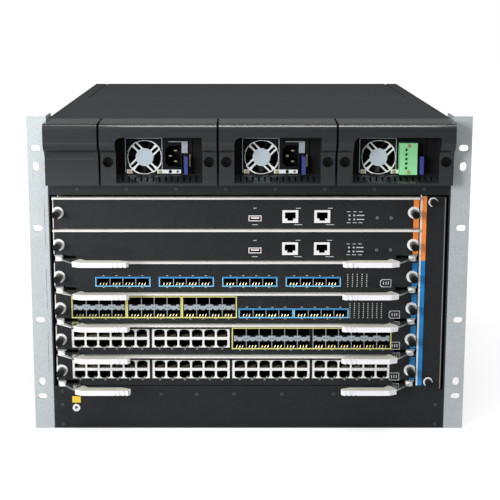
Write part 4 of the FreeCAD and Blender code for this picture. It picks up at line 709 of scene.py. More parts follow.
# ------------------------------------------------------------------ power bays
@dataclass(frozen=True)
class PowerBay:
    """One supply and the bezel in front of it. Sizes run from the lower left corner of the supply's face."""

    number: int
    fan_x: float = 21.7
    fan_z: float = 18.3
    bore: float = 18.0
    hub: float = 9.75
    face_depth: float = 16.0        # faces behind this are the supply's case
    rim_depth: float = 3.0
    plate: float = 0.4              # thickness of the plates on the face
    ring_proud: float = 0.5
    ring_depth: float = 0.6
    ring_steps: int = 40
    corner_reach: float = 16.5      # a lower corner pad and its screw, from the fan's middle
    divider_x: float = 40.2         # the folded edge between the fan and the connector
    edge_width: float = 0.7
    strip_x: tuple[float, float] = (40.2, 61.0)
    hole_x: tuple[float, float] = (49.5, 57.5)    # the plain one and the ringed one
    hole_z: float = 2.5
    hole_radius: float = 1.9
    screw_z: float = 2.6
    screw_radius: float = 1.9

    @property
    def body(self) -> str:
        """The supply's CAD body."""
        return f"supply_{self.number}"

    def build(self, places: Places) -> None:
        """Dress the bay's CAD nodes and add the supply's details.

        Args:
            places: The chassis's places.
        """
        number = self.number
        dress(f"power_bezel_{number}", Surface.BEZEL, bevel=0.35)
        dress(f"supply_fan_{number}", Surface.FAN)
        dress(f"supply_latch_{number}", Surface.LATCH, bevel=0.3)
        low, high = corners(f"power_supply_{number}")
        dress(f"power_supply_{number}", Surface.SUPPLY, self.face_rule(places, low))
        if number < SUPPLY_COUNT:
            dress(f"supply_inlet_{number}", Surface.SOCKET_AND_SHADE)
            self.inlet_blades(places)
        else:
            dress("terminal_block", Surface.TERMINAL, bevel=0.2)
            self.terminal_screws()
        self.face_parts(places.front, low, high)

    def face_rule(self, places: Places, low: Vector) -> Rule:
        """The fan's frame is pale; the rest of the supply's face and the front of its case take the dark
        finish as painted shade in the bezel's window.

        Args:
            places: The chassis's places.
            low: The lowest corner of the CAD node.

        Returns:
            The rule, for dress.
        """
        fan_x = low.x + self.fan_x
        fan_z = low.z + self.fan_z

        def rule(centre: Vector, normal: Vector) -> Surface | None:
            """Pick the finish of one face.

            Args:
                centre: The face's middle, in millimetres.
                normal: Its normal, not used.

            Returns:
                The finish, or None for the node's main one.
            """
            if centre.y > places.front + self.face_depth:
                return None
            reach = math.hypot(centre.x - fan_x, centre.z - fan_z)
            if reach < self.bore + 0.5 and centre.y < places.front + self.rim_depth:
                return Surface.FAN_FRAME
            # painted shade: the supply's face and the front of its case, deep in the window
            return Surface.INNER_AND_SHADE
        return rule

    def face_parts(self, front: float, low: Vector, high: Vector) -> None:
        """Fan frame, hub disc, lower strip and connector bracket on the supply's face.

        Args:
            front: Y of the face.
            low: The supply's lowest corner.
            high: The supply's highest corner.
        """
        fan_x = low.x + self.fan_x
        fan_z = low.z + self.fan_z
        face = Shape(f"supply_face_{self.number}", [])
        self.fan_frame(face, front, fan_x, fan_z)
        self.struts(face, front, fan_x, fan_z)
        self.face_edges(face, front, low, high)
        face.rod((fan_x, front + 0.02, fan_z), (0, -0.5, 0), self.hub - 0.3, Surface.HUB, 40)
        for x in (fan_x - self.corner_reach, fan_x + self.corner_reach):
            face.rod((x, front - self.plate, low.z + self.screw_z), (0, -1.1, 0), self.screw_radius,
                     Surface.BRASS, 16)
        self.lower_strip(face, front, low)
        if self.number < SUPPLY_COUNT:
            self.bracket(face, front, low, high)
        face.make(self.body, 0.15)

    def fan_frame(self, face: Shape, front: float, fan_x: float, fan_z: float) -> None:
        """The fan's pale frame: a thin ring with wider corners.

        Args:
            face: The shape that takes them.
            front: Y of the face.
            fan_x: X of the fan's middle.
            fan_z: Z of the fan's middle.
        """
        outline = []
        for index in range(self.ring_steps):
            angle = 2 * math.pi * index / self.ring_steps
            outline.append((math.cos(angle), math.sin(angle)))
        y = front - self.ring_proud
        for index, (c, s) in enumerate(outline):
            c2, s2 = outline[(index + 1) % self.ring_steps]
            outer = self.bore + (1.3 if abs(abs(c) - abs(s)) < 0.5 else 0.6)
            quad = [(self.bore * c, self.bore * s), (outer * c, outer * s), (outer * c2, outer * s2),
                    (self.bore * c2, self.bore * s2)]
            face.prism([(fan_x + across, y, fan_z + up) for across, up in quad], (0, self.ring_depth, 0),
                       Surface.FAN_FRAME)

    def struts(self, face: Shape, front: float, fan_x: float, fan_z: float) -> None:
        """Four swept guard struts from the hub to the frame, wider at the frame.

        Args:
            face: The shape that takes them.
            front: Y of the face.
            fan_x: X of the fan's middle.
            fan_z: Z of the fan's middle.
        """
        root = self.hub - 0.5
        tip = self.bore + 0.3
        y = front - 0.45
        for start in (38.0, 128.0, 218.0, 308.0):
            outline = []
            for reach, turn in ((root, 2), (root, 16), (13.5, 12), (tip, 14), (tip, 2), (14.0, 4)):
                angle = math.radians(start + turn)
                outline.append((fan_x + reach * math.cos(angle), y, fan_z + reach * math.sin(angle)))
            face.prism(outline, (0, self.plate, 0), Surface.FAN_FRAME)

    def face_edges(self, face: Shape, front: float, low: Vector, high: Vector) -> None:
        """Bright folded edges on the left and the top of the supply's face, and its fan's corner pads.

        Args:
            face: The shape that takes them.
            front: Y of the face.
            low: The lowest corner of the CAD node.
            high: Its highest corner.
        """
        y = front - self.plate
        top = high.z - 0.6
        divider = low.x + self.divider_x
        face.block((low.x + 0.5, y, low.z + 1.0), (low.x + 1.3, front, top), Surface.CAGE)
        face.block((divider, y, low.z + 5.0), (divider + self.edge_width, front, top), Surface.CAGE)
        face.block((low.x + 0.5, y, top - 0.6), (low.x + 40.5, front, top), Surface.CAGE)
        middle = low.x + self.fan_x
        for x in (middle - self.corner_reach, middle + self.corner_reach):
            face.block((x - 3.0, y, low.z + 0.4), (x + 3.0, front, low.z + 4.8), Surface.FAN_FRAME)

    def lower_strip(self, face: Shape, front: float, low: Vector) -> None:
        """Pale strip along the face's lower edge, with a hole and a ringed hole.

        Args:
            face: The shape that takes them.
            front: Y of the face.
            low: The lowest corner of the CAD node.
        """
        hole, ringed = self.hole_x
        left, right = self.strip_x
        z = low.z + self.hole_z
        face.block((low.x + left, front - 0.5, low.z + 0.4), (low.x + right, front, low.z + 4.6),
                   Surface.FAN_FRAME)
        # the holes drawn as dark discs of painted shade
        face.rod((low.x + hole, front - 0.45, z), (0, -0.2, 0), self.hole_radius, Surface.SOCKET_AND_SHADE, 16)
        face.rod((low.x + ringed, front - 0.45, z), (0, -0.25, 0), 1.7, Surface.CAGE, 16)
        face.rod((low.x + ringed, front - 0.65, z), (0, -0.1, 0), 0.9, Surface.SOCKET_AND_SHADE, 12)

    @staticmethod
    def bracket(face: Shape, front: float, low: Vector, high: Vector) -> None:
        """Plate and shelf that hold the inlet, and a brass bar beside it.

        Args:
            face: The shape that takes them.
            front: Y of the face.
            low: The lowest corner of the CAD node.
            high: Its highest corner.
        """
        shelf = high.z - 5.0
        face.block((high.x - 11.5, front - 1.4, low.z + 23.0), (high.x - 5.0, front, shelf), Surface.CAGE)
        face.block((high.x - 26.0, front - 0.8, shelf), (high.x - 5.0, front, shelf + 0.8), Surface.CAGE)
        face.block((high.x - 3.4, front - 1.0, low.z + 8.0), (high.x - 2.1, front, low.z + 21.0),
                   Surface.BRASS)

    def inlet_blades(self, places: Places) -> None:
        """Bright tips on the inlet's three blades.

        Args:
            places: The chassis's places.
        """
        low, high = corners(f"supply_inlet_{self.number}")
        middle_x = (low.x + high.x) / 2
        middle_z = (low.z + high.z) / 2
        half_width = 1.5
        half_height = 0.7
        blades = Shape(f"inlet_blades_{self.number}", [])
        for x, z in ((2.8, -5.85), (2.8, 5.85), (-2.8, 0)):
            blades.block((middle_x + x - half_width, places.front - 0.2, middle_z + z - half_height),
                         (middle_x + x + half_width, places.front + 6, middle_z + z + half_height),
                         Surface.BRASS)
        blades.make(self.body, 0.2)

    def terminal_screws(self) -> None:
        """Flange screws of the terminal block."""
        low, high = corners("terminal_block")
        inset = 3.0
        screws = Shape("terminal_screws", [])
        for z in (low.z + inset, high.z - inset):
            screws.rod(((low.x + high.x) / 2, low.y + 0.02, z), (0, -0.9, 0), 2.0, Surface.BRASS, 16)
        screws.make(self.body, 0.1)


# ------------------------------------------------------------------ ports
@dataclass(frozen=True)
class PortGroup:
    """A block of ports on a card, set out from the card's left end and its slot's lower boundary."""

    left: float
    columns: int
    rows: int
    split: float = 0.0       # extra room in the middle of a long block
    margin: float = 2.0      # from the block's end to its first port
    proud: float = 0.6       # how far the ports' faces stand in front of the panel


@dataclass(frozen=True)
class CageDetail:
    """Outline, dividers, shield band, contacts and marks of one group of pluggable ports."""

    group: PortGroup
    ink: Surface
    pitch: float = 14.25
    height: float = 8.3
    rim: float = 1.4
    band_height: float = 5.6
    base: float = 6.6
    ring: float = 1.2
    lap: float = 0.3         # how far the band reaches over the ports above and below it
    wall_half: float = 0.35
    notch_half: float = 3.1
    scallop_x: float = 3.3
    scallop_radius: float = 1.3
    hole_x: float = 5.6

    def add(self, shape: Shape, places: Places, low: float) -> None:
        """Add the group's details to a card's shape.

        Args:
            shape: The shape that takes them.
            places: The chassis's places.
            low: The slot's lower boundary.
        """
        group = self.group
        left = places.card_left + group.left
        right = left + group.columns * self.pitch + 2 * group.margin + group.split
        base = low + self.base
        top = base + 2 * self.rim + group.rows * self.height + (group.rows - 1) * self.band_height
        y = places.front - group.proud
        self.outline(shape, (left, right, base, top), y)
        for column in range(group.columns):
            x = left + group.margin + (column + 0.5) * self.pitch
            if column >= group.columns / 2:
                x += group.split
            self.contacts(shape, x, y, base + self.rim)
            if group.rows == 2:
                self.band(shape, x, y, base + self.rim + self.height)
            if column:
                wall = x - self.pitch / 2
                shape.block((wall - self.wall_half, y - 0.1, base + self.ring),
                            (wall + self.wall_half, y + SUNK, top - self.ring), Surface.CAGE)
            marks(shape, x, places.front, base - 1.5, 2.0)
            marks(shape, x, places.front, top + 0.9, 2.0)

    def outline(self, shape: Shape, edges: tuple[float, float, float, float], y: float) -> None:
        """The printed ring round the group. A single row has a deeper strip along its top.

        Args:
            shape: The shape that takes it.
            edges: The group's x0, x1, z0 and z1.
            y: The ports' face.
        """
        left, right, base, top = edges
        ring = self.ring
        shape.frame(edges, (left + ring, right - ring, base + ring, top - ring), y - 0.25, y + SUNK, self.ink)
        if self.group.rows == 1:
            shape.block((left + 0.2, y - 0.3, top - ring - 0.5), (right - 0.2, y - 0.2, top - 0.2),
                        Surface.INK_DEEP)

    @staticmethod
    def contacts(shape: Shape, x: float, y: float, z: float) -> None:
        """Slanted spring fingers on a port's floor.

        Args:
            shape: The shape that takes them.
            x: The port's middle.
            y: The port's face.
            z: Where they start.
        """
        for offset in (-3.9, -0.6, 2.7):
            shape.prism([(x + offset - 0.6, y + 0.4, z + 0.4), (x + offset + 0.3, y + 0.4, z + 0.4),
                         (x + offset + 1.2, y + 2.0, z + 2.6), (x + offset + 0.7, y + 2.0, z + 2.6)],
                        (0, 0.5, 0), Surface.GOLD)

    def band(self, shape: Shape, x: float, y: float, z: float) -> None:
        """Shield between an upper and a lower port: notched above, scalloped below.

        Args:
            shape: The shape that takes it.
            x: The ports' middle.
            y: The ports' face.
            z: The lower port's top.
        """
        low = z - self.lap
        high = z + self.band_height + self.lap
        half = self.pitch / 2 - self.wall_half
        cut_front = y - 0.3
        cut_back = y - 0.15
        shape.block((x - half, y - 0.2, low), (x + half, y + SUNK, high), Surface.CAGE)
        # notch, scallops and holes in the shield drawn as dark patches of painted shade
        shape.block((x - self.notch_half, cut_front, high - 1.4), (x + self.notch_half, cut_back, high + 0.1),
                    Surface.SOCKET_AND_SHADE)
        for side in (-1, 1):
            hole = x + side * self.hole_x
            shape.rod((x + side * self.scallop_x, cut_front, low), (0, 0.15, 0), self.scallop_radius,
                      Surface.SOCKET_AND_SHADE, 12)
            shape.block((hole - 0.5, cut_front, z + 2.2), (hole + 0.5, cut_back, z + 3.3), Surface.SOCKET_AND_SHADE)


@dataclass(frozen=True)
class CopperDetail:
    """Shield band, contacts, lamps and marks of one stacked group of modular sockets."""

    group: PortGroup
    pitch: float = 13.97
    width: float = 11.8
    height: float = 6.9
    latch: float = 2.4           # height of the latch slot
    latch_width: float = 6.2
    rim: float = 1.2
    web: float = 1.8             # between the upper and the lower row
    base: float = 7.8
    lap: float = 0.75            # how far the shield reaches over the web's edges
    wires: int = 8
    wire_pitch: float = 1.02

    def add(self, shape: Shape, places: Places, low: float) -> None:
        """Add the group's details to a card's shape. See CageDetail.add."""
        group = self.group
        left = places.card_left + group.left
        right = left + group.columns * self.pitch + 2 * group.margin
        base = low + self.base
        row = self.height + self.latch
        lower = base + self.rim
        upper = lower + row + self.web
        top = upper + row + self.rim
        y = places.front - group.proud
        shape.frame((left - 0.1, right + 0.1, base - 0.1, top + 0.1),
                    (left + 0.6, right - 0.6, base + 0.7, top - 0.7), y - 0.1, y + SUNK, Surface.INNER_AND_SHADE)
        shape.block((left + 0.9, y - 0.25, lower + row - self.lap), (right - 0.9, y + SUNK, upper + self.lap),
                    Surface.SHIELD)
        for column in range(group.columns):
            x = left + group.margin + (column + 0.5) * self.pitch
            self.shoulders(shape, x, y, upper + self.height, self.latch)
            self.shoulders(shape, x, y, lower + self.latch, -self.latch)
            self.lamps(shape, x, y, upper + self.height + 1.2)
            self.contacts(shape, x, y, lower + self.latch + self.height - 1.6)
            self.contacts(shape, x, y, upper + 0.8)
            # painted glint: a small white triangle of painted highlight low at the right of each lower socket
            shape.prism([(x + 1.6, y + 0.6, lower + 0.4), (x + 2.8, y + 0.6, lower + 0.4),
                         (x + 2.8, y + 0.6, lower + 1.9)], (0, 0.4, 0), Surface.PAINTED_GLINT)
            for side in (-1, 1):
                marks(shape, x + side * 3.4, places.front, top + 0.9, 1.6)
            marks(shape, x, places.front, base - 1.6, 2.0)

    def contacts(self, shape: Shape, x: float, y: float, z: float) -> None:
        """The gold wires of a socket.

        Args:
            shape: The shape that takes them.
            x: The port's middle.
            y: The port's face.
            z: Where they start.
        """
        for index in range(self.wires):
            wire = x + (index - (self.wires - 1) / 2) * self.wire_pitch
            shape.block((wire - 0.2, y + 3.5, z), (wire + 0.2, y + 10.0, z + 0.4), Surface.GOLD)

    def shoulders(self, shape: Shape, x: float, y: float, z: float, rise: float) -> None:
        """Sloped dark edges between a socket and its latch slot.

        Args:
            shape: The shape that takes them.
            x: The socket's middle.
            y: The port face.
            z: Where the socket's wide part ends.
            rise: Height of the slot beyond it, negative when the slot is below.
        """
        face = y - INK_PROUD
        for side in (-1, 1):
            inner = x + side * self.latch_width / 2
            outer = x + side * (self.width / 2 - 0.2)
            shape.prism([(inner, face, z - rise * 0.05), (outer, face, z - rise * 0.05),
                         (outer - side * 0.7, face, z + rise * 0.45), (inner, face, z + rise * 0.95)],
                        (0, 0.1, 0), Surface.SOCKET_AND_SHADE)

    def lamps(self, shape: Shape, x: float, y: float, z: float) -> None:
        """Lamp lenses at the shoulders of an upper socket.

        Args:
            shape: The shape that takes them.
            x: The port's middle.
            y: The port's face.
            z: Where they start.
        """
        for side in (-1, 1):
            middle = x + side * (self.width / 2 - 1.1)
            shape.block((middle - 0.6, y - 0.15, z), (middle + 0.6, y + SUNK, z + 0.9), Surface.CAGE)


@dataclass(frozen=True)
class ControlDetail:
    """Lamps, pinholes, port tongue and small marks of a control card.

    Places run from the card's left end and its slot's lower boundary.
    """

    lamp_x: tuple[float, ...] = (325.3, 330.5)
    lamp_z: tuple[float, ...] = (14.9, 10.4)
    lamp_radius: float = 1.1
    bar_x: tuple[float, float] = (333.2, 341.5)
    tongue_x: tuple[float, float] = (217.2, 226.4)
    tongue_z: tuple[float, float] = (11.0, 13.0)
    port_marks: tuple[tuple[float, float], ...] = ((221.8, 6.0), (269.1, 9.0), (304.1, 9.0))   # X and width
    port_mark_z: tuple[float, float] = (4.2, 22.6)
    lamp_marks: tuple[float, ...] = (324.5, 331.0, 337.5)
    lamp_mark_z: tuple[float, float] = (18.6, 6.4)
    pinhole_x: tuple[float, ...] = (355.8, 371.0)
    pinhole_z: float = 12.0
    pinhole_rim: float = 1.5
    pinhole_radius: float = 1.0

    def add(self, detail: Shape, places: Places, low: float) -> None:
        """Add the card's details to its shape. See CageDetail.add."""
        y = places.front
        x0 = places.card_left
        for z in self.lamp_z:
            for x in self.lamp_x:
                detail.rod((x0 + x, y + SUNK, low + z), (0, -0.35, 0), self.lamp_radius, Surface.LENS, 14)
            detail.block((x0 + self.bar_x[0], y - 0.08, low + z - 0.5),
                         (x0 + self.bar_x[1], y + SUNK, low + z + 0.5), Surface.INK_WHITE)
        detail.block((x0 + self.tongue_x[0], y + 0.4, low + self.tongue_z[0]),
                     (x0 + self.tongue_x[1], y + 8.0, low + self.tongue_z[1]), Surface.TONGUE)
        for x, width in self.port_marks:
            marks(detail, x0 + x, y, low + self.port_mark_z[0], width)
            marks(detail, x0 + x, y, low + self.port_mark_z[1], width * 0.6)
        for x in self.lamp_marks:
            marks(detail, x0 + x, y, low + self.lamp_mark_z[0], 3.6)
            marks(detail, x0 + x, y, low + self.lamp_mark_z[1], 4.4)
        # pinholes: a plated rim round a dark disc of painted shade
        for x in self.pinhole_x:
            place = (x0 + x, y + SUNK, low + self.pinhole_z)
            detail.rod(place, (0, -0.15, 0), self.pinhole_rim, Surface.CAGE, 16)
            detail.rod(place, (0, -0.2, 0), self.pinhole_radius, Surface.SOCKET_AND_SHADE, 16)


# ------------------------------------------------------------------ cards
@dataclass(frozen=True)
class Card:
    """One plug-in card: panel, board, ports and marks."""

    number: int
    cages: tuple[CageDetail, ...] = ()
    copper: tuple[CopperDetail, ...] = ()
    lamp_columns: tuple[float, ...] = ()
    lamp_rows: int = 0
    service_port: float | None = None    # X of its middle from the card's left end
    lip_height: float = 2.2
    lip_depth: float = 1.9
    disc_height: float = 1.2
    thumb_reach: float = 6.4
    colour_width: float = 6.0
    edge_width: float = 0.9
    lever_notch: float = 7.0
    lamp_rise: float = 6.8
    lamp_pitch: float = 2.3
    lamp_radius: float = 0.65
    service_rise: float = 10.4
    service_half: float = 6.2
    service_tall: float = 4.5
    service_cut: float = 2.0
    service_line: float = 0.7
    ports_depth: float = 30.0            # from the front to the back of the port blocks
    board_top: float = 5.6

    @property
    def body(self) -> str:
        """The card's CAD body."""
        return f"card_{self.number}"

    def build(self, places: Places) -> None:
        """Dress the card's CAD nodes and add its details.

        Args:
            places: The chassis's places.
        """
        low = places.slot_low(self.number)
        top = low + places.pitch - PANEL_GAP / 2
        dress(f"card_{self.number}_panel", Surface.PANEL, self.panel_rule(places, top))
        dress(f"card_{self.number}_board", Surface.BOARD, self.board_rule(places, low))
        self.colour_edges(places, low, top)
        if self.cages or self.copper:
            detail = Shape(f"card_{self.number}_port_detail", [])
            for group in (*self.cages, *self.copper):
                group.add(detail, places, low)
            self.lamp_field(detail, places, low)
            self.service_outline(detail, places, low)
            detail.make(self.body)
        if self.number <= CONTROL_CARDS:
            detail = Shape(f"card_{self.number}_control_detail", [])
            ControlDetail().add(detail, places, low)
            detail.make(self.body)

    def panel_rule(self, places: Places, top: float) -> Rule:
        """Bright lip, white thumbscrew discs and black knobs.

        Args:
            places: The chassis's places.
            top: The top of the card's panel.

        Returns:
            The rule, for dress.
        """
        lip_bottom = top - self.lip_height - 0.1
        bracket_top = top - places.pitch / 2 - self.thumb_reach - 1

        def rule(centre: Vector, normal: Vector) -> Surface | None:
            """Pick the finish of one face.

            Args:
                centre: The face's middle, in millimetres.
                normal: Its normal, not used.

            Returns:
                The finish, or None for the node's main one.
            """
            if centre.z > lip_bottom and centre.y < places.front + self.lip_depth:
                return Surface.LIP
            end = min(centre.x - places.card_left, places.card_right - centre.x)
            proud = places.front - centre.y
            if end >= 2 * self.thumb_reach or proud <= SUNK:
                return None
            if centre.z < bracket_top:
                return Surface.ZINC_AND_HIGHLIGHT
            return Surface.WHITE if proud < self.disc_height + SUNK else Surface.KNOB_AND_SHADE
        return rule

    def over_copper(self, x: float) -> bool:
        """Whether a place, from the card's left end, is within a copper group."""
        return any(detail.group.left <= x <= detail.group.left + detail.group.columns * detail.pitch + 4
                   for detail in self.copper)

    def board_rule(self, places: Places, low: float) -> Rule:
        """Shields on the ports' faces, dark sockets inside, green board behind.

        Args:
            places: The chassis's places.
            low: The slot's lower boundary.

        Returns:
            The rule, for dress.
        """
        warm_low = low + 22.3

        def rule(centre: Vector, normal: Vector) -> Surface | None:
            """Pick the finish of one face.

            Args:
                centre: The face's middle, in millimetres.
                normal: Its normal.

            Returns:
                The finish, or None for the node's main one.
            """
            if centre.y > places.front + self.ports_depth:
                return None
            if centre.z < low + self.board_top and centre.y > places.front + 1:
                return None
            if centre.y < places.front + 0.2 and abs(normal.y) > 0.9:
                shielded = self.number <= CONTROL_CARDS or self.over_copper(centre.x - places.card_left)
                return Surface.SHIELD if shielded else Surface.INNER_AND_SHADE
            if self.copper and centre.z > warm_low and normal.z > 0.5:
                return Surface.SOCKET_WARM
            # inside the ports: the black of the socket bodies, and painted shade inside the metal cages
            return Surface.SOCKET_AND_SHADE
        return rule

    def lamp_field(self, detail: Shape, places: Places, low: float) -> None:
        """Columns of small unlit lamps at the card's right.

        Args:
            detail: The shape that takes them.
            places: The chassis's places.
            low: The slot's lower boundary.
        """
        for column in self.lamp_columns:
            x = places.card_left + column
            for row in range(self.lamp_rows):
                z = low + self.lamp_rise + row * self.lamp_pitch
                detail.rod((x, places.front + SUNK, z), (0, -0.2, 0), self.lamp_radius, Surface.LENS, 8)

    def service_outline(self, detail: Shape, places: Places, low: float) -> None:
        """White outline with cut corners round the card's small service port, and three bars in it.

        Args:
            detail: The shape that takes them.
            places: The chassis's places.
            low: The slot's lower boundary.
        """
        if self.service_port is None:
            return
        x = places.card_left + self.service_port
        z = low + self.service_rise
        y = places.front
        cut = self.service_cut
        for shrink, proud, surface in ((0.0, 0.12, Surface.INK_WHITE),
                                       (self.service_line, 0.16, Surface.PANEL)):
            half = self.service_half - shrink
            tall = self.service_tall - shrink
            outline = [(-half, cut - tall), (cut - half, -tall), (half, -tall), (half, tall),
                       (cut - half, tall), (-half, tall - cut)]
            detail.prism([(x + across, y + SUNK, z + up) for across, up in outline],
                         (0, -proud - SUNK, 0), surface)
        for offset in (-2.4, 0.4, 3.0):
            bar = x + offset
            detail.block((bar - 0.5, y - 0.2, z - 1.8), (bar + 0.5, y, z + 1.8), Surface.INK_WHITE)

    def colour_edges(self, places: Places, low: float, top: float) -> None:
        """Colour film down the card's right end and a bright edge down its left.

        Args:
            places: The chassis's places.
            low: The slot's lower boundary.
            top: The top of the card's panel.
        """
        film = Surface.ORANGE if self.number <= CONTROL_CARDS else Surface.BLUE
        bottom = low + PANEL_GAP / 2 + (self.lever_notch if self.number in LEVER_CARDS else 0.0)
        edge = Shape(f"card_{self.number}_edges", [])
        edge.block((places.card_right - self.colour_width, places.front - 0.15, bottom),
                   (places.card_right, places.front, top - self.lip_height), film)
        edge.block((places.card_left, places.front - 0.2, bottom),
                   (places.card_left + self.edge_width, places.front, top - self.lip_height), Surface.LIP)
        edge.make(self.body)


def cards() -> list[Card]:
    """The six cards with their port groups, from the top slot down.

    Returns:
        The cards in order.
    """
    copper_pitch = 89.6
    cage_pitch = 61.3
    copper_left = 17.0
    single = tuple(CageDetail(PortGroup(45.3 + 70.2 * index, 4, 1), Surface.INK_BLUE) for index in range(4))
    stacked = tuple(CageDetail(PortGroup(18.3 + cage_pitch * index, 4, 2), Surface.INK_YELLOW)
                    for index in range(3))
    beside = tuple(CageDetail(PortGroup(19.9 + cage_pitch * index, 4, 1), Surface.INK_BLUE)
                   for index in (3, 4))
    copper = tuple(CopperDetail(PortGroup(copper_left + copper_pitch * index, 6, 2)) for index in range(4))
    long_cage = CageDetail(PortGroup(copper_left + copper_pitch * 2, 12, 2, 3.2), Surface.INK_YELLOW)
    few = tuple(324.6 + 5.25 * index for index in range(5))
    many = tuple(327.6 + 5.0 * index for index in range(8))
    return [Card(1), Card(2),
            Card(3, single, lamp_columns=few, lamp_rows=7, service_port=366.6),
            Card(4, stacked + beside, lamp_columns=many, lamp_rows=8, service_port=377.0),
            Card(5, (long_cage,), copper[:2], service_port=378.0),
            Card(6, (), copper, service_port=378.0)]


@dataclass(frozen=True)
class Lever:
    """One ejector lever. Its stretches are measured from its outer end."""

    card: int
    side: str
    boss_end: float = 9.0
    arm_end: float = 22.3
    arm_back: float = 15.0        # what lies closer to the panel than this is steel
    groove_x: tuple[float, float] = (71.0, 73.5)

    @property
    def body(self) -> str:
        """The lever's CAD body, which has its node's name."""
        return f"card_{self.card}_{self.side}_lever"

    def build(self, places: Places) -> None:
        """Dress the lever: a pale plastic grip on a bright steel arm, with painted shade on the grip's top
        and painted light on its other faces.

        Args:
            places: The chassis's places.
        """
        low, high = corners(self.body)
        outer = low.x if self.side == "left" else high.x

        def rule(centre: Vector, normal: Vector) -> Surface | None:
            """Pick the finish of one face.

            Args:
                centre: The face's middle, in millimetres.
                normal: Its normal.

            Returns:
                The finish, or None for the node's main one.
            """
            along = abs(centre.x - outer)
            if along < self.boss_end:
                return Surface.WHITE
            if along < self.arm_end or places.front - centre.y < self.arm_back:
                return Surface.ZINC_AND_HIGHLIGHT
            # painted light on the grip's front and sides; its top keeps the finish of painted shade
            return Surface.GRIP_FRONT_LIT if normal.z < 0.5 else None
        dress(self.body, Surface.GRIP_SHADED, rule, bevel=0.4)
        self.grooves(low, outer)

    def grooves(self, low: Vector, outer: float) -> None:
        """Fine moulded grooves across the grip near its free end, drawn as thin darker lines of painted
        shade.

        Args:
            low: The lever's lowest corner.
            outer: X of its outer end.
        """
        inward = 1 if self.side == "left" else -1
        lines = Shape(f"{self.body}_groove_shade", [])
        for along in self.groove_x:
            x = outer + inward * along
            lines.block((x - 0.15, low.y - 0.02, low.z + 1.4), (x + 0.15, low.y + 0.3, low.z + 5.4),
                        Surface.GRIP_SHADED)
        lines.make(self.body)


# ------------------------------------------------------------------ fan tray
@dataclass(frozen=True)
class FanTray:
    """The fan tray at the right of the cards."""

    face_depth: float = 3.0
    disc_height: float = 1.2
    edge_inset: float = 0.8
    edge_width: float = 0.8
    edge_thick: float = 0.15

    def build(self, places: Places) -> None:
        """Dress the tray and its rotors, and add the bright edge of its blade.

        Args:
            places: The chassis's places.
        """
        low, high = corners("fan_tray")
        front = places.front

        def rule(centre: Vector, normal: Vector) -> Surface | None:
            """Pick the finish of one face.

            Args:
                centre: The face's middle, in millimetres.
                normal: Its normal, not used.

            Returns:
                The finish, or None for the node's main one.
            """
            # behind its blade the tray takes the dark finish as painted shade
            if centre.y > front + self.face_depth:
                return Surface.INNER_AND_SHADE
            proud = front - centre.y
            if proud > SUNK:
                return Surface.WHITE if proud < self.disc_height + SUNK else Surface.KNOB_AND_SHADE
            return None
        dress("fan_tray", Surface.PANEL, rule)
        for number in range(1, TRAY_FANS + 1):
            dress(f"tray_fan_{number}", Surface.FAN)
        edge = Shape("fan_tray_edge", [])
        right = high.x - self.edge_inset
        edge.block((right - self.edge_width, front - self.edge_thick, low.z + 1), (right, front, high.z - 1),
                   Surface.ZINC_AND_HIGHLIGHT)
        edge.make("fan_tray")


# ------------------------------------------------------------------ studio
@dataclass(frozen=True)
class Lamp:
    """A soft rectangular lamp aimed at the middle of the switch."""

    name: str
    place: tuple[float, float, float]
    width: float
    depth: float
    watts: float

    def build(self, target: Vector) -> None:
        """Make the lamp.

        Args:
            target: The point that it is aimed at, in metres.
        """
        data = bpy.data.lights.new(self.name, "AREA")
        data.shape = "RECTANGLE"
        data.size = self.width
        data.size_y = self.depth
        data.energy = self.watts
        lamp = bpy.data.objects.new(self.name, data)
        lamp.location = self.place
        lamp.rotation_euler = (target - Vector(self.place)).to_track_quat("-Z", "Y").to_euler()
        bpy.context.collection.objects.link(lamp)


@dataclass(frozen=True)
class CameraSetup:
    """The camera in front of the switch and a little above it.

    Its place and lens are in millimetres, and its shift is a share of the frame's width.
    """

    side: float
    distance: float
    height: float
    pitch_degrees: float
    lens: float
    shift_x: float
    shift_y: float
    sensor: float = 36.0
    reach: float = 50.0      # metres

    def build(self) -> None:
        """Make the camera and set it as the scene's."""
        data = bpy.data.cameras.new("camera")
        data.sensor_width = self.sensor
        data.lens = self.lens
        data.shift_x = self.shift_x
        data.shift_y = self.shift_y
        data.clip_end = self.reach
        camera = bpy.data.objects.new("camera", data)
        camera.location = Vector((self.side, -self.distance, self.height)) * MM
        camera.rotation_euler = (math.radians(90 - self.pitch_degrees), 0, 0)
        bpy.context.collection.objects.link(camera)
        bpy.context.scene.camera = camera


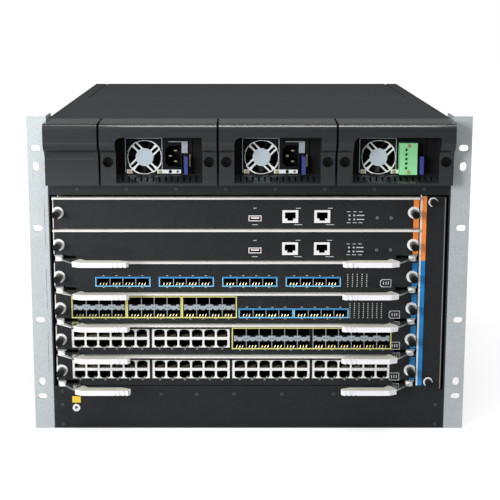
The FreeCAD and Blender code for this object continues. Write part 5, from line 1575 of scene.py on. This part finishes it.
@dataclass(frozen=True)
class Studio:
    """White floor, white surroundings, soft lamps and the camera. Lengths are in metres."""

    camera: CameraSetup = CameraSetup(-13.23, 1416.9, 496.5, 9.758, 80.3016, 0.02541, -0.15)
    lamps: tuple[Lamp, ...] = (
        Lamp("left_card", (-1.15, -1.6, 0.65), 0.7, 0.7, 29.0),
        Lamp("high_key", (0.1, -1.3, 2.3), 1.0, 1.0, 27.0),
        Lamp("top_strip", (0.0, -0.35, 2.1), 2.2, 0.1, 15.0),
    )
    world_strength: float = 0.2
    floor_size: float = 6.0
    floor_drop: float = 0.0005
    floor_shade: float = 0.4
    glow_near: float = 0.7       # what the camera sees of the floor, besides its light, close to the switch
    glow_far: float = 1.0
    near: float = 0.35
    far: float = 1.0

    def build(self) -> None:
        """Set up everything around the object."""
        scene = bpy.context.scene
        scene.view_settings.view_transform = "Standard"
        self.world()
        self.floor()
        low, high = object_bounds()
        for lamp in self.lamps:
            lamp.build((low + high) / 2)
            LOG.info("lamp %s: %.0f W", lamp.name, lamp.watts)
        self.camera.build()

    def world(self) -> None:
        """White to the camera and through clear parts, softer as a light and in reflections."""
        world = bpy.data.worlds.new("studio")
        bpy.context.scene.world = world
        world.use_nodes = True
        tree = world.node_tree
        tree.nodes.clear()
        ray = add_node(tree, "ShaderNodeLightPath")
        seen = add_node(tree, "ShaderNodeMath", {"operation": "MAXIMUM"},
                        {0: ray.outputs["Is Camera Ray"], 1: ray.outputs["Is Transmission Ray"]})
        soft = add_node(tree, "ShaderNodeBackground",
                        {"Color": (1, 1, 1, 1), "Strength": self.world_strength})
        white = add_node(tree, "ShaderNodeBackground", {"Color": (1, 1, 1, 1), "Strength": 1.0})
        mix = add_node(tree, "ShaderNodeMixShader", {},
                       {0: seen.outputs[0], 1: soft.outputs[0], 2: white.outputs[0]})
        add_node(tree, "ShaderNodeOutputWorld", {}, {"Surface": mix.outputs[0]})

    def floor(self) -> None:
        """A wide white floor that keeps the object's shadow."""
        shape = bmesh.new()
        bmesh.ops.create_grid(shape, x_segments=1, y_segments=1, size=self.floor_size)
        data = bpy.data.meshes.new("floor")
        shape.to_mesh(data)
        shape.free()
        floor = bpy.data.objects.new("floor", data)
        floor.location.z = -self.floor_drop
        bpy.context.collection.objects.link(floor)
        data.materials.append(self.floor_finish())
        floor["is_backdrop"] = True

    def floor_finish(self) -> bpy.types.Material:
        """Matt white that takes shadows, with a glow for the camera that grows away from the switch.

        Returns:
            The floor's material.
        """
        material = bpy.data.materials.new("matt_white_floor")
        material.use_nodes = True
        tree = material.node_tree
        tree.nodes.clear()
        ray = add_node(tree, "ShaderNodeLightPath")
        matt = add_node(tree, "ShaderNodeBsdfDiffuse", {"Color": (*[self.floor_shade] * 3, 1)})
        place = add_node(tree, "ShaderNodeNewGeometry")
        reach = add_node(tree, "ShaderNodeVectorMath", {"operation": "LENGTH"},
                         {0: place.outputs["Position"]})
        fade = add_node(tree, "ShaderNodeMapRange",
                        {"From Min": self.near, "From Max": self.far, "To Min": self.glow_near,
                         "To Max": self.glow_far}, {"Value": reach.outputs["Value"]})
        glow = add_node(tree, "ShaderNodeEmission", {"Color": (1, 1, 1, 1)},
                        {"Strength": fade.outputs["Result"]})
        both = add_node(tree, "ShaderNodeAddShader", {}, {0: matt.outputs[0], 1: glow.outputs[0]})
        mix = add_node(tree, "ShaderNodeMixShader", {},
                       {0: ray.outputs["Is Camera Ray"], 1: matt.outputs[0], 2: both.outputs[0]})
        add_node(tree, "ShaderNodeOutputMaterial", {}, {"Surface": mix.outputs[0]})
        return material


def main() -> None:
    """Load the frame, dress it and set up the studio."""
    logging.basicConfig(level=logging.INFO, format="%(name)s: %(message)s")
    FRAME.update(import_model())
    places = Places.read()
    LOG.info("front plane at %.1f mm, slot pitch %.2f mm", places.front, places.pitch)
    Case().build(places)
    dress("blank_bezel", Surface.BEZEL, bevel=0.35)
    # the bezel screws are black as painted shade deep in their wells
    dress("bezel_screws", Surface.KNOB_AND_SHADE)
    for number in range(1, SUPPLY_COUNT + 1):
        PowerBay(number).build(places)
    for card in cards():
        card.build(places)
    for number in LEVER_CARDS:
        for side in SIDES:
            Lever(number, side).build(places)
    FanTray().build(places)
    Studio().build()


if __name__ == "__main__":
    main()
